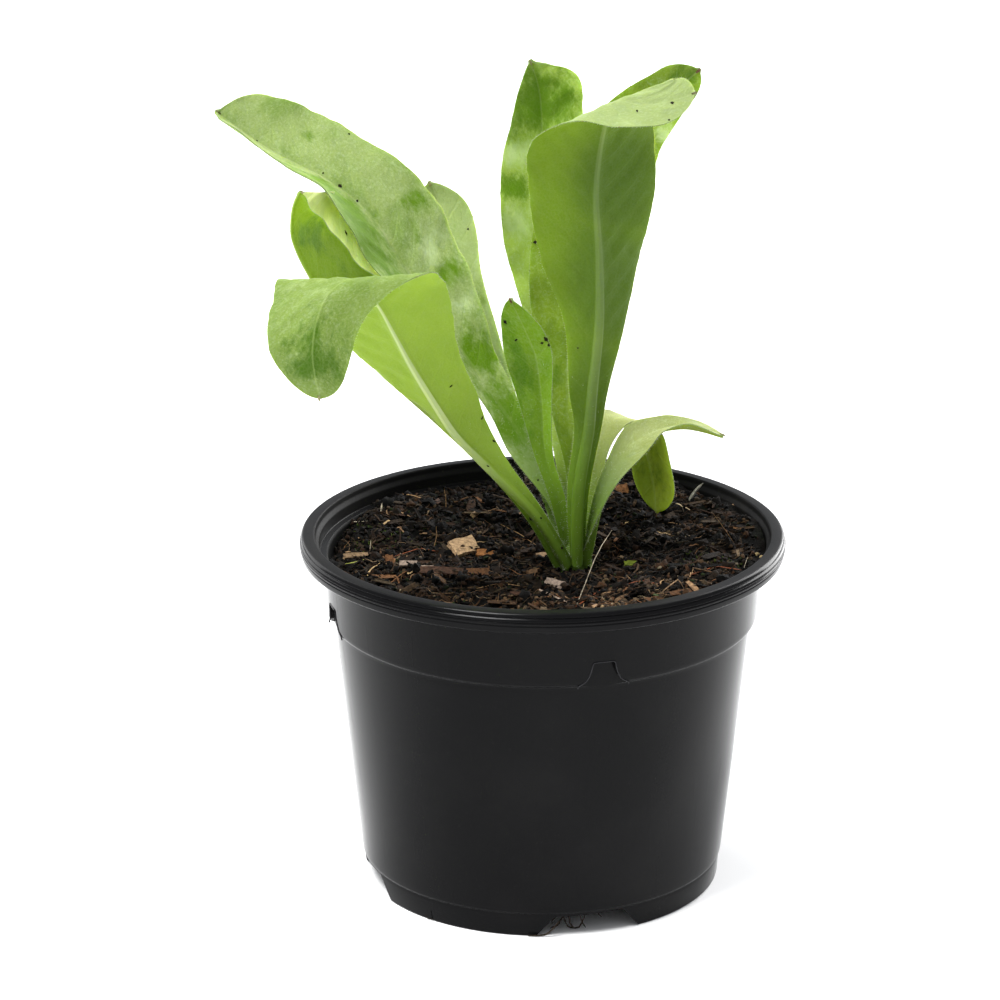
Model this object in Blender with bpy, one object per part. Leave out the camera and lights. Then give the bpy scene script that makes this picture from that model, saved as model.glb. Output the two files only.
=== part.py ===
"""Young marigold plant in a round nursery pot, before it flowers.

Every length below is in millimetres and is turned into metres when a mesh is
made. Leaf shapes are measured from the pot's axis, with the foot of the pot at
height 0, and the whole plant is then moved so that the box around it has its
middle on the origin.
"""

import math
import random

import bmesh
import bpy
from mathutils import Vector

MM = 0.001

# Place of the pot's axis, so that the leaves' reach on the left and the rim's
# reach on the right are the same distance from the origin.
LEFT_REACH = 80.2
FRONT_REACH = 63.3
RIM_RADIUS = 60.4
POT_X = (LEFT_REACH - RIM_RADIUS) / 2
POT_Y = (FRONT_REACH - RIM_RADIUS) / 2

# Pot
POT_SIDES = 72
FOOT_RADIUS = 44.4
FOOT_WIDTH = 2.4
FOOT_HEIGHT = 6.0
BODY_LOW_RADIUS = 45.3
BODY_TOP_RADIUS = 51.9
STEP_HEIGHT = 68.4
COLLAR_LOW_RADIUS = 53.3
COLLAR_TOP_RADIUS = 54.4
LIP_LOW = 84.6
LIP_TOP = 89.4
LIP_LOW_RADIUS = 58.5
LIP_INNER_RADIUS = 56.3
LEDGE_RADIUS = 55.3
LEDGE_HEIGHT = 84.6
WALL = 1.3
INNER_STEP = 76.6
FLOOR_UNDER = 6.8
FLOOR_TOP = 8.4
FOOT_NOTCHES = 4
FOOT_NOTCH_TURN = 14.5
FOOT_NOTCH_TOP_WIDTH = 17.0
FOOT_NOTCH_LOW_WIDTH = 25.0
FOOT_NOTCH_HEIGHT = 5.4
LUG_RECESSES = 4
LUG_TURN = 15.5
LUG_TOP_WIDTH = 6.0
LUG_LOW_WIDTH = 11.0
LUG_HEIGHT = 6.4
LUG_DEPTH = 1.0
DRAIN_HOLES = 4
DRAIN_RADIUS = 3.6
DRAIN_FROM_AXIS = 36.0

# Crown: the short stem from which all leaves grow. It stands a little in front
# of the pot's axis. The leaves' stations are measured with their feet beside
# the axis, so their lower stretch, up to LEAN_TOP, is brought forward and
# raised with it.
CROWN_X = 8.0
CROWN_Y = -6.5
CROWN_RISE = 2.3
LEAN_FOOT = 80.0
LEAN_TOP = 135.0
STEM_RADIUS = 3.4
STEM_SIDES = 14
STEM_FOOT = 74.8
STEM_TOP = 87.8

# Soil: heaped to the right, lower on the left, and dished round the crown
CLEARANCE = 0.4
SOIL_HEIGHT = 84.2
SOIL_TILT_X = 0.06
SOIL_TILT_Y = 0.02
SOIL_DISH = 2.6
SOIL_DISH_WIDTH = 18.0
SOIL_RINGS = 9
SOIL_SIDES = 48
SOIL_RELIEF = 1.3
SOIL_SEED = 7
STALK_GAP = 0.7
STALK_FOOT = 3.4

# Leaves
BLADE_THICKNESS = 0.7
RIB_WIDTH = 1.5
STALK_THICKNESS = 3.0
RIB_TIP_THICKNESS = 0.9
LEAF_ROWS = 21
TIP_ROWS = 5
TIP_START = 0.9

# One entry for each leaf. Each station has a point on the midrib, and the
# steps from it to the left and the right margin as seen from the upper face
# with the tip up. "wave" is the height of the waves of the margin, "waves" the
# number of them along the leaf, and "cut" the length along the midrib at which
# the blade's piece begins and the crown's stalk ends.
LEAVES = {
    "leaf_far_left": {
        "cut": 19.0, "wave": 0.9, "waves": 4.5, "seed": 1, "cup": 0.10,
        "stations": [
            ((7.0, 1.0, 80.0), (-1.4, -1.0, 0.0), (1.4, 1.0, 0.0)),
            ((4.4, 2.3, 95.0), (-2.2, -1.8, 0.0), (2.4, 1.8, 0.5)),
            ((-4.0, 5.0, 110.3), (-4.8, -2.2, -1.4), (3.4, 1.6, 1.0)),
            ((-10.5, 7.0, 120.2), (-5.2, -3.4, -1.4), (4.2, 2.0, 1.4)),
            ((-20.0, 8.0, 134.2), (-4.2, -6.5, 0.5), (6.7, 4.0, 3.3)),
            ((-33.1, 9.0, 154.7), (-4.3, -13.0, 1.2), (11.8, 8.0, 5.6)),
            ((-40.8, 9.0, 166.8), (-2.8, -15.0, 2.0), (11.8, 8.5, 6.2)),
            ((-47.6, 9.0, 174.0), (-2.5, -15.0, 2.7), (8.4, 8.0, 8.6)),
            ((-54.5, 9.0, 178.8), (-1.0, -12.5, 3.3), (6.6, 8.0, 9.8)),
            ((-63.0, 9.0, 183.2), (0.0, -10.0, 3.0), (6.8, 8.0, 9.8)),
            ((-69.8, 9.0, 187.4), (0.0, -8.0, 2.8), (7.6, 7.0, 8.8)),
            ((-79.8, 8.0, 195.2), (-1.0, -7.0, 0.6), (8.4, 5.0, 7.4)),
        ],
    },
    "leaf_front_left": {
        "cut": 19.0, "wave": 0.8, "waves": 3.5, "seed": 2, "cup": 0.08,
        "stations": [
            ((7.0, -2.0, 80.0), (1.6, -1.0, 0.2), (-1.6, 1.0, 0.0)),
            ((-3.0, -8.5, 96.5), (2.8, -0.8, 1.4), (-2.6, 1.2, -1.0)),
            ((-13.0, -14.0, 110.6), (4.2, 0.6, 2.4), (-2.9, 2.0, -1.2)),
            ((-20.7, -19.0, 121.0), (6.8, 2.6, 2.6), (-3.1, 4.0, -1.8)),
            ((-24.8, -23.0, 128.6), (8.5, 3.4, 2.8), (-3.4, 6.0, -2.6)),
            ((-31.3, -30.0, 142.0), (10.4, 4.0, 4.8), (-7.4, 7.0, -4.2)),
            ((-35.9, -36.0, 153.0), (13.6, 4.5, 5.6), (-10.2, 6.5, -6.2)),
            ((-39.7, -43.0, 162.6), (16.8, 5.0, 4.4), (-14.6, 5.0, -4.0)),
            ((-44.5, -51.0, 170.6), (18.8, 4.0, 0.6), (-17.4, 4.0, -1.4)),
            ((-50.0, -58.0, 169.2), (15.8, 4.0, 0.8), (-13.4, 4.0, -2.8)),
            ((-53.0, -62.0, 163.0), (10.8, 3.0, -0.6), (-11.4, 4.0, -2.0)),
            ((-53.9, -63.0, 154.6), (8.8, 2.0, -1.6), (-9.8, 3.0, -0.4)),
            ((-52.5, -61.0, 144.2), (8.0, 1.0, -0.6), (-7.6, 2.0, -0.6)),
        ],
    },
    "leaf_back_left": {
        "cut": 19.0, "wave": 0.8, "waves": 4.0, "seed": 3, "cup": 0.08,
        "stations": [
            ((6.4, -0.6, 80.0), (0.9, -1.3, 0.4), (-0.9, 1.3, 0.0)),
            ((-0.9, -3.2, 93.8), (1.2, -1.9, 1.0), (-0.4, 2.0, 0.4)),
            ((-11.0, -6.0, 107.2), (1.6, -2.0, 1.6), (0.8, 2.4, 1.6)),
            ((-24.4, -9.0, 121.2), (3.6, -3.0, 3.6), (2.8, 4.0, 3.6)),
            ((-37.2, -10.0, 133.5), (8.0, -5.0, 7.0), (6.0, 7.0, 6.0)),
            ((-47.9, -8.5, 145.6), (11.0, -8.0, 10.6), (9.4, 6.4, 4.9)),
            ((-55.0, -9.0, 157.2), (9.0, -9.0, 10.0), (11.8, 8.8, 8.4)),
            ((-59.6, -9.0, 167.4), (7.0, -8.0, 6.4), (10.2, 5.8, 6.1)),
            ((-59.6, -8.5, 174.2), (4.2, -4.6, 1.8), (7.1, 4.0, 2.0)),
            ((-57.8, -7.5, 179.3), (3.0, -2.5, 0.0), (6.0, 4.0, -0.6)),
        ],
    },
    "leaf_inner_left": {
        "cut": 20.0, "wave": 0.6, "waves": 4.0, "seed": 4, "cup": 0.06,
        "stations": [
            ((6.6, 2.6, 80.0), (-1.4, -0.5, 0.0), (1.4, 0.5, 0.0)),
            ((1.4, 9.6, 97.0), (-2.2, -0.5, 0.0), (2.2, 0.7, 0.0)),
            ((-4.6, 15.8, 108.0), (-2.5, -0.6, 0.0), (2.5, 0.4, 0.0)),
            ((-10.5, 22.0, 119.0), (-3.6, -1.0, -1.0), (3.6, 0.2, 0.0)),
            ((-16.0, 27.0, 133.0), (-5.8, -1.4, -1.4), (4.8, 0.2, 0.4)),
            ((-20.0, 31.0, 146.0), (-6.4, -1.6, -1.4), (4.8, 0.2, 0.8)),
            ((-23.0, 33.0, 157.0), (-6.6, -1.6, -1.0), (6.5, 0.0, 0.8)),
            ((-26.0, 34.0, 164.8), (-5.6, -1.6, -1.0), (6.8, -0.4, 1.2)),
            ((-28.0, 33.0, 169.6), (-4.0, -1.0, -0.6), (5.4, -0.4, 1.4)),
        ],
    },
    "leaf_centre": {
        "cut": 19.0, "wave": 0.5, "waves": 3.0, "seed": 5, "cup": 0.10,
        "stations": [
            ((7.4, -0.8, 80.0), (-1.4, 0.0, 0.0), (1.4, 0.0, 0.0)),
            ((3.6, -3.4, 99.5), (-1.9, -0.6, 0.0), (1.9, -0.6, 0.0)),
            ((0.5, -4.0, 111.0), (-2.6, -1.0, 0.0), (1.9, -0.8, 0.0)),
            ((-0.4, -5.0, 125.0), (-5.4, -2.0, 0.0), (2.4, -1.4, 0.4)),
            ((-2.0, -6.0, 137.2), (-7.4, -2.6, 0.6), (4.0, -1.6, 0.6)),
            ((-4.8, -6.0, 144.2), (-5.4, -2.0, 1.0), (4.8, -1.6, -0.4)),
            ((-8.0, -6.0, 151.2), (-2.8, -1.0, 0.6), (3.4, -1.0, -0.6)),
        ],
    },
    "leaf_back": {
        "cut": 20.0, "wave": 0.9, "waves": 5.0, "seed": 6, "cup": 0.10,
        "stations": [
            ((8.4, 3.0, 80.0), (-1.5, 0.0, 0.0), (1.5, 0.0, 0.0)),
            ((6.4, 12.2, 99.5), (-2.5, 0.0, 0.0), (2.5, 0.0, 0.0)),
            ((3.5, 18.0, 118.0), (-3.2, -1.0, 0.0), (3.2, -1.0, 0.0)),
            ((1.1, 23.0, 136.6), (-5.0, -2.4, 0.8), (5.0, -2.4, 0.8)),
            ((-0.4, 27.0, 156.0), (-9.1, -5.0, 1.8), (9.5, -4.0, 1.8)),
            ((-0.4, 30.0, 173.0), (-9.8, -5.0, 1.8), (10.0, -4.0, 1.8)),
            ((0.0, 31.0, 185.6), (-7.8, -4.0, 1.4), (9.6, -3.0, 1.8)),
            ((0.2, 30.0, 194.4), (-6.4, -3.0, 0.0), (9.3, -3.0, 1.2)),
            ((-1.2, 28.0, 201.6), (-4.2, -2.0, -0.6), (9.2, -2.0, -0.2)),
        ],
    },
    "leaf_front_right": {
        "cut": 20.0, "wave": 0.8, "waves": 4.0, "seed": 7, "cup": 0.08,
        "stations": [
            ((8.8, -2.4, 80.0), (1.6, 0.0, 0.0), (-1.6, 0.0, 0.0)),
            ((8.6, -7.4, 102.6), (2.6, 1.0, 0.0), (-2.6, 1.0, 0.0)),
            ((11.0, -11.0, 119.6), (3.0, 1.2, 0.0), (-3.4, 1.2, 0.0)),
            ((11.7, -14.0, 130.0), (3.8, 2.0, 0.0), (-5.4, 2.0, 0.0)),
            ((13.2, -18.0, 148.8), (6.2, 4.0, -1.0), (-8.2, 4.0, -1.0)),
            ((13.0, -22.0, 167.0), (9.9, 6.0, -1.0), (-13.8, 6.0, -1.6)),
            ((12.1, -27.0, 185.4), (14.1, 6.0, -1.0), (-15.8, 6.0, -1.0)),
            ((13.6, -31.0, 201.2), (12.1, 5.0, 1.4), (-16.4, 2.0, -3.6)),
            ((15.8, -35.0, 208.8), (12.5, 5.0, 1.8), (-8.8, -5.0, -2.6)),
            ((22.1, -38.0, 208.2), (9.4, 5.0, 5.6), (-5.2, -7.0, -2.6)),
            ((28.7, -34.0, 208.8), (4.7, 4.0, 4.2), (-3.0, -7.0, -3.2)),
            ((34.6, -26.0, 210.0), (1.4, 2.0, 1.0), (-1.8, -5.6, -4.4)),
        ],
    },
    "leaf_back_right": {
        "cut": 20.0, "wave": 1.0, "waves": 4.5, "seed": 8, "cup": 0.06,
        "stations": [
            ((9.2, 1.6, 80.0), (-1.5, 0.0, 0.0), (1.5, 0.0, 0.0)),
            ((8.4, 6.2, 101.5), (-2.4, 0.0, 0.0), (2.4, 0.0, 0.0)),
            ((6.2, 8.6, 121.0), (-4.7, -1.0, 0.0), (4.5, -1.0, 0.0)),
            ((7.1, 11.0, 140.9), (-9.7, -2.0, 0.5), (9.0, -3.0, 0.5)),
            ((9.8, 13.0, 160.6), (-12.6, -3.0, 1.0), (12.0, -4.0, 1.0)),
            ((14.6, 14.0, 178.4), (-12.4, -3.0, 5.0), (11.6, -4.0, -2.0)),
            ((23.4, 13.0, 190.0), (-6.8, -3.0, 6.8), (5.6, -3.0, -4.1)),
            ((31.1, 11.0, 198.2), (-4.1, -2.0, 6.3), (3.4, -2.0, -3.7)),
            ((38.0, 9.0, 205.6), (-2.4, -1.0, 2.6), (2.0, -1.0, -2.6)),
        ],
    },
    "leaf_low_front": {
        "cut": 17.0, "wave": 0.3, "waves": 3.0, "seed": 9, "cup": 0.06,
        "stations": [
            ((9.6, -1.4, 80.0), (0.8, 1.2, 0.0), (-0.8, -1.2, 0.0)),
            ((13.0, -6.6, 98.6), (-1.0, 1.8, 0.6), (1.2, -1.8, -0.4)),
            ((16.4, -9.6, 108.0), (-1.2, 2.4, 1.8), (2.4, -2.6, -0.4)),
            ((21.0, -12.0, 116.0), (-1.0, 4.0, 3.4), (4.2, -4.0, 0.0)),
            ((27.0, -14.0, 120.8), (0.6, 6.0, 1.6), (1.6, -4.6, 0.9)),
            ((33.6, -15.0, 122.4), (0.0, 5.4, 0.5), (0.5, -4.4, 1.8)),
            ((39.4, -16.0, 121.8), (0.0, 3.6, 0.0), (0.3, -3.2, 0.7)),
            ((43.4, -17.0, 120.6), (0.0, 2.4, 0.0), (0.0, -2.6, 0.0)),
        ],
    },
    "leaf_low_back": {
        "cut": 17.0, "wave": 0.3, "waves": 3.0, "seed": 10, "cup": 0.06,
        "stations": [
            ((9.8, 0.6, 80.0), (-0.6, 1.2, 0.0), (0.6, -1.2, 0.0)),
            ((12.6, 3.0, 99.0), (-1.0, 1.8, 0.4), (1.0, -1.8, 0.0)),
            ((13.8, 5.0, 110.8), (-1.8, 2.0, 1.2), (2.6, -2.2, -0.4)),
            ((17.0, 9.0, 115.8), (-3.0, 3.4, 0.8), (3.6, -3.2, -0.4)),
            ((21.6, 14.0, 114.7), (-3.8, 4.4, -0.2), (3.8, -3.8, 0.0)),
            ((25.3, 18.0, 110.0), (-5.0, 4.2, 0.0), (4.8, -3.8, 0.0)),
            ((27.7, 20.0, 101.4), (-5.4, 4.2, 0.0), (4.6, -3.8, 0.0)),
            ((29.2, 20.0, 93.6), (-4.6, 3.6, 0.0), (4.2, -3.4, 0.0)),
            ((29.9, 19.0, 88.6), (-3.4, 2.6, 0.0), (3.4, -2.6, 0.0)),
        ],
    },
}


def clear_scene():
    for item in list(bpy.data.objects):
        bpy.data.objects.remove(item, do_unlink=True)


def material(name, colour, roughness):
    made = bpy.data.materials.new(name)
    made.use_nodes = True
    shader = made.node_tree.nodes["Principled BSDF"]
    shader.inputs["Base Color"].default_value = (*colour, 1.0)
    shader.inputs["Roughness"].default_value = roughness
    return made


def placed(point):
    """A point measured from the pot's axis, in metres from the origin."""
    return Vector(((point[0] + POT_X) * MM, (point[1] + POT_Y) * MM, point[2] * MM))


def add_object(name, points, faces, slot, smooth_angle=None):
    mesh = bpy.data.meshes.new(name)
    mesh.from_pydata([placed(point) for point in points], [], faces)
    work = bmesh.new()
    work.from_mesh(mesh)
    bmesh.ops.recalc_face_normals(work, faces=work.faces)
    work.to_mesh(mesh)
    work.free()
    mesh.materials.append(slot)
    if smooth_angle is not None:
        mesh.shade_smooth()
        mesh.set_sharp_from_angle(angle=math.radians(smooth_angle))
    item = bpy.data.objects.new(name, mesh)
    bpy.context.scene.collection.objects.link(item)
    return item


def lathe(profile, sides, closed):
    """Points and faces of a profile (radius, height) turned about the pot's
    axis. A profile that starts and ends on the axis is closed by its poles."""
    points = []
    rings = []
    for radius, height in profile:
        if radius < 1e-6:
            rings.append([len(points)])
            points.append((0.0, 0.0, height))
            continue
        ring = []
        for side in range(sides):
            turn = 2 * math.pi * side / sides
            ring.append(len(points))
            points.append((radius * math.cos(turn), radius * math.sin(turn), height))
        rings.append(ring)
    faces = []
    pairs = list(zip(rings, rings[1:]))
    if closed:
        pairs.append((rings[-1], rings[0]))
    for low, high in pairs:
        if len(low) == 1 and len(high) == 1:
            continue
        for side in range(sides):
            after = (side + 1) % sides
            if len(low) == 1:
                faces.append((low[0], high[after], high[side]))
            elif len(high) == 1:
                faces.append((low[side], low[after], high[0]))
            else:
                faces.append((low[side], low[after], high[after], high[side]))
    return points, faces


def prism(name, outline, low, high, turn, slot):
    """A block that stands out along the radius at the angle turn, with its
    outline (along the rim, height) seen from outside."""
    points = []
    cos_turn = math.cos(turn)
    sin_turn = math.sin(turn)
    for radius in (low, high):
        for along, height in outline:
            points.append((
                radius * cos_turn - along * sin_turn,
                radius * sin_turn + along * cos_turn,
                height,
            ))
    count = len(outline)
    faces = [tuple(range(count)), tuple(range(2 * count - 1, count - 1, -1))]
    for corner in range(count):
        after = (corner + 1) % count
        faces.append((corner, after, count + after, count + corner))
    item = add_object(name, points, faces, slot)
    item.hide_render = True
    item.display_type = "WIRE"
    return item


def boolean(target, cutter, operation):
    step = target.modifiers.new("join", "BOOLEAN")
    step.operation = operation
    step.solver = "EXACT"
    step.object = cutter
    bpy.context.view_layer.update()
    graph = bpy.context.evaluated_depsgraph_get()
    result = bpy.data.meshes.new_from_object(target.evaluated_get(graph))
    target.modifiers.clear()
    target.data = result
    bpy.data.objects.remove(cutter, do_unlink=True)


def tidy_mesh(item, smooth_angle=None):
    """Joins doubled corners, splits faces into triangles and turns them out."""
    work = bmesh.new()
    work.from_mesh(item.data)
    bmesh.ops.remove_doubles(work, verts=work.verts, dist=0.000002)
    bmesh.ops.dissolve_degenerate(work, edges=work.edges, dist=0.000002)
    bmesh.ops.triangulate(work, faces=work.faces)
    bmesh.ops.recalc_face_normals(work, faces=work.faces)
    work.to_mesh(item.data)
    work.free()
    if smooth_angle is not None:
        item.data.shade_smooth()
        item.data.set_sharp_from_angle(angle=math.radians(smooth_angle))


def wall_radius(height):
    """Inner radius of the pot's wall at a height."""
    if height > INNER_STEP:
        share = (height - STEP_HEIGHT) / (LIP_LOW - STEP_HEIGHT)
        outer = COLLAR_LOW_RADIUS + share * (COLLAR_TOP_RADIUS - COLLAR_LOW_RADIUS)
    else:
        share = (height - FLOOR_TOP) / (STEP_HEIGHT - FLOOR_TOP)
        outer = BODY_LOW_RADIUS + share * (BODY_TOP_RADIUS - BODY_LOW_RADIUS)
    return outer - WALL


def make_pot(slot):
    profile = [
        (FOOT_RADIUS - FOOT_WIDTH, 0.0),
        (FOOT_RADIUS, 0.0),
        (FOOT_RADIUS + 0.4, FOOT_HEIGHT - 1.0),
        (BODY_LOW_RADIUS - 0.2, FOOT_HEIGHT + 0.2),
        (BODY_LOW_RADIUS, FOOT_HEIGHT + 1.8),
        (BODY_TOP_RADIUS, STEP_HEIGHT - 0.3),
        (COLLAR_LOW_RADIUS, STEP_HEIGHT),
        (COLLAR_LOW_RADIUS + 0.1, STEP_HEIGHT + 1.0),
        (COLLAR_TOP_RADIUS, LIP_LOW - 0.2),
        (COLLAR_TOP_RADIUS + 2.2, LIP_LOW),
        (COLLAR_TOP_RADIUS + 2.3, LIP_LOW + 1.5),
        (LIP_LOW_RADIUS - 1.1, LIP_LOW + 1.5),
        (LIP_LOW_RADIUS - 0.8, LIP_LOW),
        (LIP_LOW_RADIUS, LIP_LOW),
        (LIP_LOW_RADIUS + 0.4, LIP_LOW + 0.9),
        (RIM_RADIUS - 0.5, LIP_LOW + 1.5),
        (RIM_RADIUS, LIP_LOW + 2.6),
        (RIM_RADIUS - 0.3, LIP_TOP - 0.7),
        (RIM_RADIUS - 1.1, LIP_TOP - 0.1),
        (RIM_RADIUS - 2.2, LIP_TOP),
        (LIP_INNER_RADIUS + 0.5, LIP_TOP - 0.4),
        (LIP_INNER_RADIUS, LIP_TOP - 1.2),
        (LEDGE_RADIUS + 0.2, LIP_TOP - 2.0),
        (LEDGE_RADIUS, LEDGE_HEIGHT + 0.4),
        (COLLAR_TOP_RADIUS - WALL + 0.5, LEDGE_HEIGHT),
        (COLLAR_TOP_RADIUS - WALL, LEDGE_HEIGHT - 0.6),
        (wall_radius(INNER_STEP + 1.6), INNER_STEP + 1.6),
        (wall_radius(INNER_STEP), INNER_STEP),
        (wall_radius(FLOOR_TOP) + 0.2, FLOOR_TOP + 1.6),
        (wall_radius(FLOOR_TOP) - 1.2, FLOOR_TOP),
        (0.0, FLOOR_TOP),
    ]
    under = [(0.0, FLOOR_UNDER), (FOOT_RADIUS - FOOT_WIDTH - 0.3, FLOOR_UNDER)]
    points, faces = lathe(profile + under, POT_SIDES, True)
    pot = add_object("pot", points, faces, slot)
    for notch in range(FOOT_NOTCHES):
        turn = math.radians(-90 + FOOT_NOTCH_TURN + 360 * notch / FOOT_NOTCHES)
        outline = [
            (-FOOT_NOTCH_LOW_WIDTH / 2, -1.0),
            (FOOT_NOTCH_LOW_WIDTH / 2, -1.0),
            (FOOT_NOTCH_TOP_WIDTH / 2, FOOT_NOTCH_HEIGHT),
            (-FOOT_NOTCH_TOP_WIDTH / 2, FOOT_NOTCH_HEIGHT),
        ]
        cutter = prism("notch_cutter", outline, FOOT_RADIUS - 10, FOOT_RADIUS + 5, turn, slot)
        boolean(pot, cutter, "DIFFERENCE")
    for lug in range(LUG_RECESSES):
        turn = math.radians(-90 + LUG_TURN + 360 * lug / LUG_RECESSES)
        half_low = LUG_LOW_WIDTH / 2
        half_top = LUG_TOP_WIDTH / 2
        outline = [
            (-half_low, STEP_HEIGHT - 1.4),
            (half_low, STEP_HEIGHT - 1.4),
            (half_top, STEP_HEIGHT + LUG_HEIGHT),
            (-half_top, STEP_HEIGHT + LUG_HEIGHT),
        ]
        reach = COLLAR_LOW_RADIUS - LUG_DEPTH
        cutter = prism("lug_cutter", outline, reach, reach + 8, turn, slot)
        boolean(pot, cutter, "DIFFERENCE")
    for hole in range(DRAIN_HOLES):
        turn = math.radians(-90 + FOOT_NOTCH_TURN + 360 * hole / DRAIN_HOLES)
        centre_x = DRAIN_FROM_AXIS * math.cos(turn)
        centre_y = DRAIN_FROM_AXIS * math.sin(turn)
        points = []
        for height in (FLOOR_UNDER - 3, FLOOR_TOP + 3):
            for side in range(16):
                angle = 2 * math.pi * side / 16
                points.append((
                    centre_x + DRAIN_RADIUS * math.cos(angle),
                    centre_y + DRAIN_RADIUS * math.sin(angle),
                    height,
                ))
        faces = [tuple(range(15, -1, -1)), tuple(range(16, 32))]
        for side in range(16):
            after = (side + 1) % 16
            faces.append((side, after, 16 + after, 16 + side))
        cutter = add_object("drain_cutter", points, faces, slot)
        cutter.hide_render = True
        cutter.display_type = "WIRE"
        boolean(pot, cutter, "DIFFERENCE")
    tidy_mesh(pot, 30)
    return pot


def soil_relief(x, y, waves):
    height = 0.0
    for along, turn, phase, size in waves:
        height += size * math.sin(along * (x * math.cos(turn) + y * math.sin(turn)) + phase)
    return height


def soil_level(x, y):
    """Height of the soil before its relief."""
    near = math.hypot(x - CROWN_X, y - CROWN_Y) / SOIL_DISH_WIDTH
    dish = SOIL_DISH * math.exp(-near * near / 2)
    return SOIL_HEIGHT + SOIL_TILT_X * x + SOIL_TILT_Y * y - dish


def soil_edge(height):
    """Radius at which the soil's top meets the wall at a height."""
    ledge = LEDGE_HEIGHT - 0.6
    return wall_radius(min(height, ledge)) - CLEARANCE + 0.5 * max(0.0, height - ledge)


def make_soil(slot):
    draw = random.Random(SOIL_SEED)
    waves = []
    for step in range(12):
        along = draw.uniform(0.12, 0.75)
        size = SOIL_RELIEF * draw.uniform(0.10, 0.32)
        waves.append((along, draw.uniform(0, 2 * math.pi), draw.uniform(0, 6.28), size))
    gap = CLEARANCE
    edge = wall_radius(SOIL_HEIGHT) - gap
    side_profile = [
        (wall_radius(FLOOR_TOP) - 1.4 - gap, FLOOR_TOP + gap),
        (wall_radius(FLOOR_TOP) - gap, FLOOR_TOP + 1.8),
        (wall_radius(INNER_STEP) - gap, INNER_STEP + gap),
        (wall_radius(INNER_STEP + 1.6) - gap, INNER_STEP + 1.6 + gap),
        (edge, SOIL_HEIGHT - 1.0),
    ]
    profile = [(0.0, FLOOR_TOP + gap)] + side_profile
    for ring in range(SOIL_RINGS):
        share = 1 - ring / SOIL_RINGS
        profile.append((edge * share, SOIL_HEIGHT))
    profile.append((0.0, SOIL_HEIGHT))
    points, faces = lathe(profile, SOIL_SIDES, False)
    raised = []
    for x, y, z in points:
        radius = math.hypot(x, y)
        if z > SOIL_HEIGHT - 0.01:
            inset = max(0.0, 1.0 - (radius / edge) ** 10)
            near = math.hypot(x - CROWN_X, y - CROWN_Y)
            flat = min(1.0, max(0.0, (near - 6.5) / 6))
            relief = soil_relief(x, y, waves) * flat * (0.2 + 0.8 * inset)
            z = soil_level(x, y) + relief - 0.4 * (1.0 - inset)
            spread = soil_edge(z) / edge
            x *= spread
            y *= spread
        elif z > SOIL_HEIGHT - 1.01:
            z = min(LEDGE_HEIGHT - 0.8, soil_level(x, y) - 1.0)
            spread = (wall_radius(z) - gap) / radius
            x *= spread
            y *= spread
        raised.append((x, y, z))
    soil = add_object("potting_soil", raised, faces, slot)
    points = []
    for height in (STEM_FOOT - CLEARANCE, SOIL_HEIGHT + 4):
        for side in range(STEM_SIDES):
            angle = 2 * math.pi * side / STEM_SIDES
            points.append((
                CROWN_X + (STEM_RADIUS + CLEARANCE) * math.cos(angle),
                CROWN_Y + (STEM_RADIUS + CLEARANCE) * math.sin(angle),
                height,
            ))
    count = STEM_SIDES
    faces = [tuple(range(count - 1, -1, -1)), tuple(range(count, 2 * count))]
    for side in range(count):
        after = (side + 1) % count
        faces.append((side, after, count + after, count + side))
    cutter = add_object("stem_hole_cutter", points, faces, slot)
    cutter.hide_render = True
    cutter.display_type = "WIRE"
    boolean(soil, cutter, "DIFFERENCE")
    tidy_mesh(soil)
    return soil


def through(values, knots, at):
    """A smooth curve through vectors at the given knots (Catmull-Rom)."""
    last = len(knots) - 1
    step = 0
    while step < last - 1 and at > knots[step + 1]:
        step += 1
    low, high = knots[step], knots[step + 1]
    share = (at - low) / (high - low)
    before = values[max(step - 1, 0)]
    after = values[min(step + 2, last)]
    span_in = high - knots[max(step - 1, 0)]
    span_out = knots[min(step + 2, last)] - low
    slope_in = (values[step + 1] - before) * ((high - low) / span_in)
    slope_out = (after - values[step]) * ((high - low) / span_out)
    square = share * share
    cube = square * share
    return (
        values[step] * (2 * cube - 3 * square + 1)
        + slope_in * (cube - 2 * square + share)
        + values[step + 1] * (3 * square - 2 * cube)
        + slope_out * (cube - square)
    )


def leaned(point):
    """A station's point, brought forward with the crown in its lower stretch."""
    share = (LEAN_TOP - point[2]) / (LEAN_TOP - LEAN_FOOT)
    share = min(1.0, max(0.0, share))
    ease = share * share * (3 - 2 * share)
    return Vector((point[0], point[1] + CROWN_Y * ease, point[2] + CROWN_RISE * ease))


def leaf_knots(stations):
    knots = [0.0]
    for before, after in zip(stations, stations[1:]):
        knots.append(knots[-1] + (leaned(after[0]) - leaned(before[0])).length)
    return knots


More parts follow.
